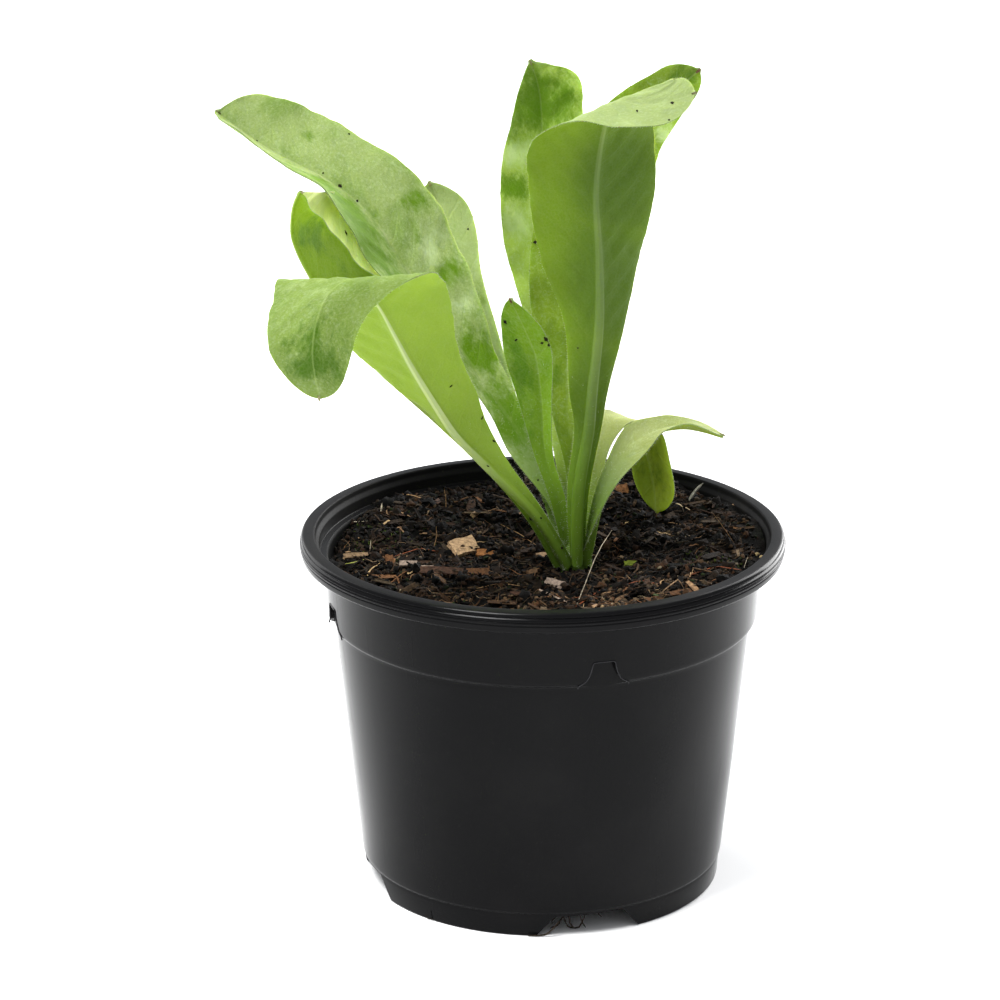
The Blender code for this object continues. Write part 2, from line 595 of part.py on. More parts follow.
def leaf_grid(leaf, stops):
    """Rows of (middle point, normal, thickness above, thickness below) at the
    given lengths along the midrib."""
    stations = leaf["stations"]
    knots = leaf_knots(stations)
    total = knots[-1]
    middles = [leaned(station[0]) for station in stations]
    lefts = [Vector(station[1]) for station in stations]
    rights = [Vector(station[2]) for station in stations]
    draw = random.Random(leaf["seed"])
    phases = [draw.uniform(0, 2 * math.pi) for side in range(4)]
    surface = []
    widths = []
    for stop in stops:
        share = stop / total
        middle = through(middles, knots, stop)
        left = through(lefts, knots, stop)
        right = through(rights, knots, stop)
        narrow = 1.0
        if share > TIP_START:
            inside = min(1.0, (share - TIP_START) / (1 - TIP_START))
            narrow = max(math.sqrt(1 - inside * inside), 0.06)
        left = left * narrow
        right = right * narrow
        half = max((left.length + right.length) / 2, 0.2)
        rib = min(0.45, RIB_WIDTH / half)
        columns = [-1.0, -0.5 - rib / 4, -rib, 0.0, rib, 0.5 + rib / 4, 1.0]
        ahead = through(middles, knots, min(stop + 0.5, total))
        behind = through(middles, knots, max(stop - 0.5, 0.0))
        along = (ahead - behind).normalized()
        upper = (right - left).cross(along).normalized()
        row = []
        for column in columns:
            reach = abs(column)
            side = right if column > 0 else left
            swell = leaf["cup"] * side.length * (reach - reach * reach)
            spread = min(1.0, max(0.0, (side.length - 2.5) / 6.0))
            phase = phases[0] if column > 0 else phases[1]
            phase_two = phases[2] if column > 0 else phases[3]
            turns = 2 * math.pi * leaf["waves"] * share
            wave = math.sin(turns + phase) + 0.5 * math.sin(2.3 * turns + phase_two)
            lift = leaf["wave"] * reach * reach * spread * wave
            row.append(middle + side * reach + upper * (lift - swell))
        surface.append(row)
        widths.append((half, columns, share))
    rows = []
    for number, row in enumerate(surface):
        half, columns, share = widths[number]
        before = surface[max(number - 1, 0)]
        after = surface[min(number + 1, len(surface) - 1)]
        fresh = []
        for column, point in enumerate(row):
            across = row[min(column + 1, 6)] - row[max(column - 1, 0)]
            along = after[column] - before[column]
            upper = across.cross(along).normalized()
            distance = abs(columns[column]) * half
            fade = max(0.0, 1 - share / 0.96)
            thick = RIB_TIP_THICKNESS + (STALK_THICKNESS - RIB_TIP_THICKNESS) * fade
            bump = max(0.0, 1 - (distance / (RIB_WIDTH * 1.02)) ** 2)
            below = BLADE_THICKNESS / 2 + max(0.0, thick - BLADE_THICKNESS) * bump
            fresh.append((point, upper, BLADE_THICKNESS / 2, below))
        rows.append(fresh)
    return rows


def leaf_solid(leaf, stops):
    """Points and three-sided faces of the stretch of a leaf between stops."""
    rows = leaf_grid(leaf, stops)
    wide = len(rows[0])
    points = []
    for row in rows:
        for point, upper, above, below in row:
            points.append(point + upper * above)
    under = len(points)
    for row in rows:
        for point, upper, above, below in row:
            points.append(point - upper * below)
    faces = []
    for step in range(len(rows) - 1):
        for column in range(wide - 1):
            one = step * wide + column
            two = one + 1
            three = two + wide
            four = one + wide
            if column < wide // 2:
                halves = ((one, two, three), (one, three, four))
            else:
                halves = ((one, two, four), (two, three, four))
            for corners in halves:
                faces.append(corners)
                faces.append(tuple(under + corner for corner in reversed(corners)))
    border = [column for column in range(wide)]
    border += [step * wide + wide - 1 for step in range(1, len(rows))]
    border += [(len(rows) - 1) * wide + column for column in range(wide - 2, -1, -1)]
    border += [step * wide for step in range(len(rows) - 2, 0, -1)]
    for corner, after in zip(border, border[1:] + border[:1]):
        faces.append((corner, under + corner, under + after))
        faces.append((corner, under + after, after))
    return points, faces


def leaf_stops(leaf):
    total = leaf_knots(leaf["stations"])[-1]
    first = leaf["cut"]
    last = TIP_START * total
    stops = [first + (last - first) * row / LEAF_ROWS for row in range(LEAF_ROWS + 1)]
    for row in range(1, TIP_ROWS + 1):
        angle = math.pi / 2 * row / TIP_ROWS
        stops.append(last + (total - last) * math.sin(angle))
    return stops


def make_leaf(name, leaf, slot):
    points, faces = leaf_solid(leaf, leaf_stops(leaf))
    return add_object(name, points, faces, slot, 50)


def make_crown(slot):
    """The stem in its hole, and the foot of every leaf stalk, as one body."""
    points = []
    levels = [(STEM_FOOT, 0.9), (STEM_FOOT + 1.5, 1.0), (STEM_TOP - 2, 1.0), (STEM_TOP, 0.75)]
    for height, share in levels:
        for side in range(STEM_SIDES):
            angle = 2 * math.pi * side / STEM_SIDES
            points.append((
                CROWN_X + STEM_RADIUS * share * math.cos(angle),
                CROWN_Y + STEM_RADIUS * share * math.sin(angle),
                height,
            ))
    count = STEM_SIDES
    faces = [tuple(range(count - 1, -1, -1)), tuple(range(3 * count, 4 * count))]
    for level in range(3):
        for side in range(count):
            after = (side + 1) % count
            low = level * count
            faces.append((low + side, low + after, low + count + after, low + count + side))
    crown = add_object("crown", points, faces, slot)
    for leaf in LEAVES.values():
        end = leaf["cut"] - STALK_GAP
        stops = [STALK_FOOT + (end - STALK_FOOT) * row / 4 for row in range(5)]
        points, faces = leaf_solid(leaf, stops)
        stalk = add_object("stalk", points, faces, slot)
        stalk.hide_render = True
        stalk.display_type = "WIRE"
        boolean(crown, stalk, "UNION")
    tidy_mesh(crown, 40)
    return crown


def main():
    clear_scene()
    plastic = material("black_plastic", (0.018, 0.018, 0.020), 0.42)
    soil = material("dark_soil", (0.045, 0.030, 0.022), 0.95)
    stalk = material("pale_stalk", (0.42, 0.55, 0.20), 0.55)
    green = material("leaf_green", (0.22, 0.36, 0.10), 0.5)
    make_pot(plastic)
    make_soil(soil)
    make_crown(stalk)
    for name, leaf in LEAVES.items():
        make_leaf(name, leaf, green)


main()
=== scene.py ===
# %% [markdown]
# # A young marigold plant in a nursery pot
# The real object is a black moulded pot, a heap of dark potting soil, and a bunch of ten soft
# green leaves that rise from one short crown. The plant has not flowered yet.
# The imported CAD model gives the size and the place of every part, so it is loaded first and is
# never moved. Everything below is a finer piece that stands where a CAD part stands.

# %% Load the CAD model
import math
import random

import bpy
import numpy as np
from mathutils import Matrix, Vector, noise
from mathutils.bvhtree import BVHTree


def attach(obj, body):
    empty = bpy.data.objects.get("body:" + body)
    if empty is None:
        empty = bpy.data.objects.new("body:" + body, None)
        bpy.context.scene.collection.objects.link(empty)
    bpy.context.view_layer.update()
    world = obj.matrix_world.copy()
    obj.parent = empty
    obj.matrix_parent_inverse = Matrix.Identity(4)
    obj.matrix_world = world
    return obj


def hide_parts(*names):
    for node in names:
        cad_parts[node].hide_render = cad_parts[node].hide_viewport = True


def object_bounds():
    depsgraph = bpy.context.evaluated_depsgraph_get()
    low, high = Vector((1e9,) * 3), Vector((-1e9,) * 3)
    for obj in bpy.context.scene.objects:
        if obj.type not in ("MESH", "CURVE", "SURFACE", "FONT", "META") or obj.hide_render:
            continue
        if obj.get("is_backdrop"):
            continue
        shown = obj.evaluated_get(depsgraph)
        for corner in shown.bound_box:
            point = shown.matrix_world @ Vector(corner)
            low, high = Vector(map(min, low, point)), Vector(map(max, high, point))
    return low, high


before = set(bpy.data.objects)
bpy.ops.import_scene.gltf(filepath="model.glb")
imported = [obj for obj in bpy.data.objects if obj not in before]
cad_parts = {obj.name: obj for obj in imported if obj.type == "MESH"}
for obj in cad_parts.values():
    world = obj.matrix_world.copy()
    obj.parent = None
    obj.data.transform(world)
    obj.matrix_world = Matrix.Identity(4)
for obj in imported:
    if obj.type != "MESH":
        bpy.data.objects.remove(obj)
cad_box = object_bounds()
MM = 0.001
print("CAD parts:", ", ".join(sorted(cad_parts)))

# %% [markdown]
# ## Lengths
# A plant and a small pot are easiest to measure in millimetres from the pot's own axis, with
# the pot's foot at height 0. One helper turns such a point into Blender's metres, and the pot's
# axis stands a little beside the origin, because the leaves reach further to the left.

# %% From millimetres to metres
POT_X = 9.9
POT_Y = 1.45


def placed(point):
    """A point in millimetres from the pot's axis, in metres from the origin."""
    return Vector(((point[0] + POT_X) * MM, (point[1] + POT_Y) * MM, point[2] * MM))


print("pot axis at", tuple(placed((0, 0, 0))))

# %% [markdown]
# ## Camera
# The photograph looks down on the pot by about 19 degrees from 1.2 m away with a long lens, so
# the rim shows as a flat ellipse. The camera is aimed at a point on the plant and turned to face
# along the line to it. The same numbers let a later step find what lies behind a pixel.

# %% Camera
PICTURE_MIDDLE = 500
PIXELS_PER_MM = 4.046
CAMERA_DISTANCE = 1200.0
CAMERA_ELEVATION = math.radians(19.4)
AIM = Vector((-10.56, 0.0, 97.8))

to_camera = Vector((0, -math.cos(CAMERA_ELEVATION), math.sin(CAMERA_ELEVATION)))
camera_up = Vector((0, math.sin(CAMERA_ELEVATION), math.cos(CAMERA_ELEVATION)))
camera_point = AIM + to_camera * CAMERA_DISTANCE
bpy.ops.object.select_all(action="DESELECT")
bpy.ops.object.camera_add(location=placed(camera_point))
camera = bpy.context.object
camera.name = "photo_camera"
camera.rotation_euler = (-to_camera).to_track_quat("-Z", "Y").to_euler()
camera.data.angle = 2 * math.atan(PICTURE_MIDDLE / (PIXELS_PER_MM * CAMERA_DISTANCE))
bpy.context.scene.camera = camera
print("lens %.1f mm" % camera.data.lens)


def ray_through(pixel):
    """The direction from the camera through a pixel of the photograph."""
    reach = PIXELS_PER_MM * CAMERA_DISTANCE
    right = (pixel[0] - PICTURE_MIDDLE) / reach
    rise = (PICTURE_MIDDLE - pixel[1]) / reach
    return Vector((right, 0, 0)) + camera_up * rise - to_camera


def at_depth(pixel, depth):
    """The point behind a pixel at a distance depth behind the pot's axis."""
    ray = ray_through(pixel)
    return camera_point + ray * ((depth - camera_point.y) / ray.y)


# %% [markdown]
# ## Floor and light
# The object was photographed in a white studio: broad soft light from the upper left in front,
# white all round, and no hard shadow. A pale floor, a pale world and three large area lights
# give that. The Standard view keeps the picture's colours as bright and clean as the studio's.
# The two side lights stand beside the pot, because black plastic shows its shape
# only by what it mirrors along its edges.

# %% Floor, world and lights
bpy.ops.mesh.primitive_plane_add(size=6.0, location=(0, 0, 0))
floor = bpy.context.object
floor.name = "floor"
floor_finish = bpy.data.materials.new("pale_floor")
floor_finish.use_nodes = True
floor_shader = floor_finish.node_tree.nodes["Principled BSDF"]
floor_shader.inputs["Base Color"].default_value = (0.92, 0.92, 0.92, 1)
floor_shader.inputs["Roughness"].default_value = 0.9
floor.data.materials.append(floor_finish)
floor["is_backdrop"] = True

world = bpy.data.worlds.new("white_studio")
bpy.context.scene.world = world
world.use_nodes = True
world.node_tree.nodes["Background"].inputs["Color"].default_value = (0.95, 0.97, 1.0, 1)
world.node_tree.nodes["Background"].inputs["Strength"].default_value = 0.62
bpy.context.scene.view_settings.view_transform = "Standard"


def soft_light(name, place, size, power, aim=(0, 0, 0.11)):
    bpy.ops.object.light_add(type="AREA", location=place)
    lamp = bpy.context.object
    lamp.name = name
    lamp.data.size = size
    lamp.data.energy = power
    lamp.rotation_euler = (Vector(aim) - Vector(place)).to_track_quat("-Z", "Y").to_euler()
    return lamp


soft_light("key_light", (-0.52, -0.50, 1.50), 0.60, 38)
soft_light("left_light", (-0.85, 1.03, 0.60), 0.85, 7)
soft_light("right_light", (0.85, 1.03, 0.60), 0.9, 36)

# %% [markdown]
# ## Small helpers for modelling
# Blender's operators act on whatever is selected, so each step starts from nothing selected.
# `start` clears the selection, `edit` opens edit mode with all or nothing selected, and `apply`
# makes a modifier part of the mesh.

# %% Helpers for modelling


def start():
    if bpy.context.mode != "OBJECT":
        bpy.ops.object.mode_set(mode="OBJECT")
    bpy.ops.object.select_all(action="DESELECT")


def edit(action="SELECT"):
    bpy.ops.object.mode_set(mode="EDIT")
    bpy.ops.mesh.select_all(action=action)


def close_edit(merge=None):
    """Merges doubled corners if asked, turns all faces out and leaves edit mode."""
    bpy.ops.mesh.select_all(action="SELECT")
    if merge is not None:
        bpy.ops.mesh.remove_doubles(threshold=merge)
    bpy.ops.mesh.normals_make_consistent(inside=False)
    bpy.ops.object.mode_set(mode="OBJECT")


def apply(item, kind, **settings):
    step = item.modifiers.new(kind.lower(), kind)
    for name, value in settings.items():
        setattr(step, name, value)
    bpy.context.view_layer.objects.active = item
    bpy.ops.object.modifier_apply(modifier=step.name)


def cut_away(item, cutter):
    apply(item, "BOOLEAN", object=cutter, operation="DIFFERENCE", solver="EXACT")
    bpy.data.objects.remove(cutter, do_unlink=True)


print("helpers for modelling ready")

# %% [markdown]
# ## Small helpers for finished pieces
# `pick` selects one object, `join_to` makes several one, and `smooth` shades a surface as round
# except at its sharp edges. `keep` is the last step of every piece: it gets its name and its
# materials, rides on the plant's one body, and hides the CAD parts that it stands for.

# %% Helpers for finished pieces


def pick(item):
    """Selects one object alone and makes it the active one."""
    start()
    item.select_set(True)
    bpy.context.view_layer.objects.active = item


def join_to(item, others):
    """Joins other objects to one, which stays the active one."""
    pick(item)
    for other in others:
        other.select_set(True)
    bpy.ops.object.join()


def smooth(item, degrees):
    pick(item)
    bpy.ops.object.shade_smooth_by_angle(angle=math.radians(degrees))


def keep(item, name, finishes=(), replaces=()):
    """Names a finished piece, gives it its materials and lets it ride on the body."""
    item.name = name
    item.data.name = name
    for finish in finishes:
        item.data.materials.append(finish)
    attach(item, "root")
    for node in replaces:
        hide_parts(node)
    count = sum(len(face.vertices) - 2 for face in item.data.polygons)
    print("%s: %d triangles" % (name, count))
    return item


# %% [markdown]
# ## Small helpers for materials
# A material is a tree of nodes. Adding one node takes four lines, so short helpers do it:
# `add` makes a node and links or sets its inputs, `calc`, `times` and `plus` do sums,
# `noise_at` is cloudy noise, `step_up` is a soft threshold and `blend` mixes two colours.

# %% Helpers for materials


def add(tree, kind, settings=(), **inputs):
    made = tree.nodes.new(kind)
    for name, value in dict(settings).items():
        setattr(made, name, value)
    for name, value in inputs.items():
        socket = made.inputs[int(name[1:]) if name[1:].isdigit() else name.replace("_", " ")]
        if isinstance(value, bpy.types.NodeSocket):
            tree.links.new(value, socket)
        else:
            socket.default_value = value
    return made


def calc(tree, operation, *values):
    inputs = {"n%d" % place: value for place, value in enumerate(values)}
    return add(tree, "ShaderNodeMath", {"operation": operation}, **inputs).outputs[0]


def times(tree, one, two):
    return calc(tree, "MULTIPLY", one, two)


def plus(tree, one, two):
    return calc(tree, "ADD", one, two)


def noise_at(tree, place, scale, detail, **more):
    """Cloudy noise between 0 and 1."""
    return add(tree, "ShaderNodeTexNoise", Vector=place, Scale=scale, Detail=detail,
               **more).outputs[0]


def step_up(tree, value, low, high, to_low=0.0, to_high=1.0):
    made = add(tree, "ShaderNodeMapRange", {"interpolation_type": "SMOOTHSTEP"}, Value=value,
               From_Min=low, From_Max=high, To_Min=to_low, To_Max=to_high)
    return made.outputs[0]


def blend(tree, factor, one, two, way="MIX"):
    made = add(tree, "ShaderNodeMix", {"data_type": "RGBA", "blend_type": way},
               n0=factor, n6=one, n7=two)
    return made.outputs[2]


print("helpers for nodes ready")

# %% [markdown]
# ## Small helpers for colours and groups
# Colours are written as the 0 to 255 values of a picture, and `tone` turns them into the linear
# values that a shader wants. Looks that several materials share go into a node group, which
# `new_group` opens with its named sockets. `new_finish` opens a material, and `group_finish`
# opens one that uses such a group.

# %% Helpers for colours and groups


def tone(*colour):
    """A picture's colour (0 to 255) as linear values."""
    shares = [value / 255 for value in colour]
    linear = [share / 12.92 if share < 0.04045 else ((share + 0.055) / 1.055) ** 2.4
              for share in shares]
    return (*linear, 1.0)


def new_group(name, inputs, outputs):
    """An empty node group with named sockets, given as {name: (type, default)}."""
    group = bpy.data.node_groups.new(name, "ShaderNodeTree")
    for label, (kind, value) in inputs.items():
        socket = group.interface.new_socket(label, in_out="INPUT",
                                            socket_type="NodeSocket" + kind)
        if value is not None:
            socket.default_value = value
    for label, kind in outputs.items():
        group.interface.new_socket(label, in_out="OUTPUT", socket_type="NodeSocket" + kind)
    return group, add(group, "NodeGroupInput").outputs, add(group, "NodeGroupOutput").inputs


def new_finish(name):
    finish = bpy.data.materials.new(name)
    finish.use_nodes = True
    return finish, finish.node_tree, finish.node_tree.nodes["Principled BSDF"]


def join_up(tree, pairs):
    for source, socket in pairs:
        tree.links.new(source, socket)


def group_finish(name, look, strength, distance, **inputs):
    """A material whose colour, bump and perhaps roughness come from a node group."""
    finish, tree, shader = new_finish(name)
    group = add(tree, "ShaderNodeGroup", {"node_tree": look}, **inputs)
    bump = add(tree, "ShaderNodeBump", Strength=strength, Distance=distance,
               Height=group.outputs["Height"])
    join_up(tree, [(group.outputs["Colour"], shader.inputs["Base Color"]),
                   (bump.outputs[0], shader.inputs["Normal"])])
    if "Roughness" in group.outputs:
        join_up(tree, [(group.outputs["Roughness"], shader.inputs["Roughness"])])
    return finish, shader


print("helpers ready")

# %% [markdown]
# ## The pot: its profile
# A nursery pot is a turned shape: a foot ring, a tapered wall, a small step out to a collar, and
# a wide rolled lip with a ledge inside. It could be built from cylinders, but turning one
# profile about the axis gives every ring at once and a closed wall. Each corner of the profile
# is (radius, height, rounding), and the rounding gives the thin highlights on moulded edges.

# %% Profile of the pot
FOOT_RADIUS = 44.4
STEP_HEIGHT = 69.0
LIP_LOW = 84.7
LIP_TOP = 89.7
FLOOR_TOP = 8.4
FLOOR_UNDER = 6.8
POT_PROFILE = [
    # Floor and inner wall
    (0.0, FLOOR_TOP, 0), (43.0, FLOOR_TOP, 1.0), (44.3, 10.4, 1.2), (50.9, 66.0, 0),
    (51.8, 76.6, 0.6), (52.5, 78.2, 0.6), (53.1, 84.0, 0.3), (53.5, 84.7, 0.2),
    # Ledge and rolled lip, with fine ridges round its outside
    (55.2, 84.8, 0.3), (55.4, 87.4, 0.3), (56.3, 88.4, 0.3), (56.5, 89.8, 0.45),
    (58.0, LIP_TOP, 0), (59.5, LIP_TOP - 0.05, 0.5), (60.0, 88.8, 0.15), (59.65, 88.55, 0.1),
    (60.1, 88.2, 0.15), (60.3, 87.7, 0.1), (60.0, 87.5, 0.1), (60.25, 87.2, 0.1),
    (60.2, 86.8, 0.1), (59.95, 86.6, 0.1), (60.1, 86.3, 0.1), (60.0, 85.7, 0.1),
    (59.85, 85.0, 0.12), (59.5, LIP_LOW, 0.12), (57.9, LIP_LOW + 0.1, 0.2), (57.7, 86.0, 0.2),
    (56.7, 86.0, 0.2), (56.6, 84.8, 0.2),
    # Collar, step and outer wall
    (54.5, 84.5, 0.5), (53.5, 70.4, 0), (53.3, STEP_HEIGHT, 0.75), (52.0, 68.6, 0.35),
    (51.8, 67.6, 0.3), (45.4, 8.0, 0), (45.2, 6.4, 0.45), (44.75, 6.0, 0.2),
    # Foot ring and underside
    (44.8, 5.2, 0.25), (FOOT_RADIUS, 0.0, 0.5), (42.0, 0.0, 0.5), (41.8, FLOOR_UNDER, 0.6),
    (0.0, FLOOR_UNDER, 0),
]


def rounded(corners, steps=3):
    """A path through the corners, each softened by a small curve."""
    path = []
    for place, (across, height, soft) in enumerate(corners):
        corner = Vector((across, height))
        if soft == 0:
            path.append(corner)
            continue
        before = Vector(corners[place - 1][:2]) - corner
        after = Vector(corners[(place + 1) % len(corners)][:2]) - corner
        first = corner + before.normalized() * min(soft, 0.45 * before.length)
        last = corner + after.normalized() * min(soft, 0.45 * after.length)
        for number in range(steps + 1):
            share = number / steps
            path.append(first * (1 - share) ** 2 + corner * 2 * share * (1 - share)
                        + last * share * share)
    return path


pot_path = rounded(POT_PROFILE)
print("profile of", len(pot_path), "points")

# %% [markdown]
# ## Turning the pot
# The profile starts as a circle of corners that are moved on to the path. The edge that closes
# the circle is deleted, which leaves a line, and Spin turns the line round. Spin leaves doubled
# corners where the turn ends and on the axis, so they are merged before the faces are turned
# outwards.

# %% Turn the pot
POT_SIDES = 180


def line_through(points):
    """A line of corners, made from a circle whose closing edge is deleted. Stays in edit mode."""
    start()
    bpy.ops.mesh.primitive_circle_add(vertices=len(points))
    item = bpy.context.object
    for vertex, point in zip(item.data.vertices, points):
        vertex.co = placed(point)
    edit("DESELECT")
    bpy.ops.object.mode_set(mode="OBJECT")
    ends = {0, len(points) - 1}
    for edge in item.data.edges:
        edge.select = set(edge.vertices) == ends
    bpy.ops.object.mode_set(mode="EDIT")
    bpy.ops.mesh.select_mode(type="EDGE")
    bpy.ops.mesh.delete(type="EDGE")
    bpy.ops.mesh.select_mode(type="VERT")
    return item


def turned(name, path, sides):
    """A closed body from a path that starts and ends on the pot's axis."""
    item = line_through([(radius, 0, height) for radius, height in path])
    item.name = name
    bpy.ops.mesh.select_all(action="SELECT")
    bpy.ops.mesh.spin(steps=sides, angle=2 * math.pi, center=placed((0, 0, 0)), axis=(0, 0, 1))
    close_edit(merge=0.000001)
    return item


pot = turned("pot_body", pot_path, POT_SIDES)
print("pot turned:", len(pot.data.polygons), "faces")

# %% [markdown]
# ## Openings in the pot
# The foot ring has four arches that let water out, and the collar has four small pressed lugs
# that keep stacked pots apart. Each is cut with a block: a flat outline that stands on the
# radius and is extruded outwards.

# %% A block along the radius
ARCH_TURN = 14.5
LUG_TURN = 15.5
ARCH_OUTLINE = [(-13.6, -1.0, 0), (14.4, -1.0, 0), (8.8, 5.6, 0.8), (-8.6, 5.3, 0.8)]
LUG_OUTLINE = [
    (-6.8, 66.4, 0), (6.8, 66.4, 0), (6.3, 69.1, 0.6), (4.3, 70.2, 1.2), (3.3, 72.4, 0.8),
    (2.7, 75.1, 0.6), (-2.7, 75.1, 0.6), (-3.3, 72.4, 0.8), (-4.3, 70.2, 1.2), (-6.3, 69.1, 0.6),
]
# From which radius to which each block reaches
ARCH_REACH = (34, 50)
LUG_REACH = (51.9, 56.5)


def facing(turn):
    """The directions outwards and sideways at a turn about the pot's axis."""
    out = Vector((math.cos(turn), math.sin(turn), 0))
    return out, Vector((-math.sin(turn), math.cos(turn), 0))


def radial_block(outline, reach, turn):
    """A block along the radius, from an outline of (sideways, height) points."""
    near, far = reach
    corners = rounded(outline)
    start()
    bpy.ops.mesh.primitive_circle_add(vertices=len(corners), fill_type="NGON")
    block = bpy.context.object
    out, aside = facing(turn)
    for vertex, (along, height) in zip(block.data.vertices, corners):
        vertex.co = placed(out * near + aside * along + Vector((0, 0, height)))
    edit()
    bpy.ops.mesh.extrude_region_move(TRANSFORM_OT_translate={"value": out * (far - near) * MM})
    close_edit()
    return block


print("arch and lug outlines ready")

# %% [markdown]
# ## Cutting the pot
# The pot is the same four times round, so a loop cuts an arch, a round drain hole in the floor
# behind it and a lug, and goes on to the next quarter. A boolean modifier subtracts each block.

# %% Cut the arches, holes and lugs
DRAIN_RADIUS = 3.6
DRAIN_FROM_AXIS = 36
DRAIN_MIDDLE = 7.6
DRAIN_DEPTH = 6


def quarter_turns(first):
    """Four turns, the first of them a few degrees to the right of the front."""
    return [math.radians(-90 + first + 90 * quarter) for quarter in range(4)]


for arch_turn, lug_turn in zip(quarter_turns(ARCH_TURN), quarter_turns(LUG_TURN)):
    cut_away(pot, radial_block(ARCH_OUTLINE, ARCH_REACH, arch_turn))
    hole = (DRAIN_FROM_AXIS * math.cos(arch_turn), DRAIN_FROM_AXIS * math.sin(arch_turn),
            DRAIN_MIDDLE)
    start()
    bpy.ops.mesh.primitive_cylinder_add(vertices=32, radius=DRAIN_RADIUS * MM,
                                        depth=DRAIN_DEPTH * MM, location=placed(hole))
    cut_away(pot, bpy.context.object)
    cut_away(pot, radial_block(LUG_OUTLINE, LUG_REACH, lug_turn))
smooth(pot, 32)
print("pot cut:", len(pot.data.polygons), "faces")

# %% [markdown]
# ## Beads round the lugs
# A thin moulded bead runs round each lug and meets the step. It is a line of corners on the
# collar that is converted to a curve, given a round section, and converted back to a mesh.

# %% Lay the beads
BEAD_RADIUS = 0.20
BEAD_STEP_RADIUS = 53.38
COLLAR_SLOPE = 0.075


def bead(points, radius):
    """A thin round line through points on a surface, closed at both ends."""
    line_through(points)
    bpy.ops.object.mode_set(mode="OBJECT")
    bpy.ops.object.convert(target="CURVE")
    line = bpy.context.object
    line.data.bevel_depth = radius * MM
    line.data.bevel_resolution = 1
    line.data.use_fill_caps = True
    bpy.ops.object.convert(target="MESH")
    edit()
    close_edit()
    return bpy.context.object


beads = []
for turn in quarter_turns(LUG_TURN):
    out, aside = facing(turn)
    path = []
    for along, height in rounded(LUG_OUTLINE)[2:]:
        radius = BEAD_STEP_RADIUS + (height - STEP_HEIGHT) * COLLAR_SLOPE
        path.append(out * math.sqrt(radius ** 2 - along ** 2) + aside * along
                    + Vector((0, 0, height)))
    beads.append(bead(path, BEAD_RADIUS))
    smooth(beads[-1], 60)
print(len(beads), "beads")

# %% [markdown]
# ## Tilt of the lip
# The lip of the real pot is not quite level: after months of handling it stands half a
# millimetre higher at the front than at the back. Its corners are simply raised by their
# distance to the front, more the nearer they are to the top.

# %% Raise the lip's front
LIP_TILT = 0.009
TILT_FROM = 80
TILT_RISE = 6
for vertex in pot.data.vertices:
    share = min(1.0, max(0.0, (vertex.co.z / MM - TILT_FROM) / TILT_RISE))
    vertex.co.z -= LIP_TILT * share * (vertex.co.y - POT_Y * MM)
print("lip from %.1f to %.1f mm" % (LIP_TOP - 60 * LIP_TILT, LIP_TOP + 60 * LIP_TILT))

# %% [markdown]
# ## Black plastic
# Injection-moulded polypropylene is near black and satin, with faint upright scuffs from stacking,
# fine grain from the mould, and dust that stays on the rim. The grain and the scuffs are a group,
# so the same effect can be set weaker or stronger. Dust lightens the flat top of the lip and the
# inside is duller. The thin beads get a lighter plastic, a painted highlight for the light they
# catch.

# %% Material of the pot
moulded, given, result = new_group(
    "moulded_plastic",
    {"Plastic": ("Color", (0.01, 0.01, 0.01, 1)), "Dust": ("Color", (0.2, 0.2, 0.2, 1)),
     "Dust Amount": ("Float", 0.3), "Gloss": ("Float", 0.3)},
    {"Colour": "Color", "Roughness": "Float", "Height": "Float"})
spot = add(moulded, "ShaderNodeTexCoord").outputs["Object"]
grain = noise_at(moulded, spot, 2600.0, 2.0)
cloudy = noise_at(moulded, spot, 38.0, 5.0, Roughness=0.6)
tall = add(moulded, "ShaderNodeMapping", Vector=spot, Scale=(900.0, 900.0, 22.0)).outputs[0]
scuffs = noise_at(moulded, tall, 1.0, 3.0)
scuff = step_up(moulded, scuffs, 0.60, 0.72)
speck_noise = noise_at(moulded, spot, 900.0, 1.0)
speck = step_up(moulded, speck_noise, 0.70, 0.76)
dusty = times(moulded, step_up(moulded, cloudy, 0.42, 0.72), given["Dust Amount"])
dusty = calc(moulded, "MAXIMUM", dusty, times(moulded, speck, given["Dust Amount"]))
rough = plus(moulded, given["Gloss"], times(moulded, cloudy, 0.05))
rough = plus(moulded, rough, times(moulded, scuff, 0.10))
join_up(moulded, [
    (blend(moulded, dusty, given["Plastic"], given["Dust"]), result["Colour"]),
    (rough, result["Roughness"]),
    (plus(moulded, times(moulded, grain, 0.5), times(moulded, scuff, 0.35)), result["Height"]),
])


def plastic_finish(name, plastic, dust, amount, gloss, specular=0.075):
    finish, shader = group_finish(name, moulded, 0.12, 0.0002, Plastic=plastic, Dust=dust,
                                  Dust_Amount=amount, Gloss=gloss)
    shader.inputs["Specular IOR Level"].default_value = specular
    return finish


PALE_DUST = tone(84, 80, 74)
wall_plastic = plastic_finish("black_plastic_wall", tone(11, 11, 12), tone(70, 68, 66), 0.03, 0.13)
lip_plastic = plastic_finish("black_plastic_lip", tone(15, 15, 16), PALE_DUST, 0.07, 0.32)
inside_plastic = plastic_finish("black_plastic_inside", tone(12, 12, 12), tone(70, 66, 60),
                                0.10, 0.50, specular=0.03)
# Painted highlight: the beads are lighter than the rest of the black plastic.
bead_highlight_plastic = plastic_finish("black_plastic_bead_painted_highlight", tone(40, 40, 42), PALE_DUST, 0.05, 0.24)
print("four finishes of black plastic")

# %% [markdown]
# ## Finishing the pot
# Each face is given one of three finishes by its place: flat faces high up are the top of the
# lip, faces that look at the axis above the soil are the inside, and the rest is wall. The beads
# bring their own finish when they are joined to the pot.

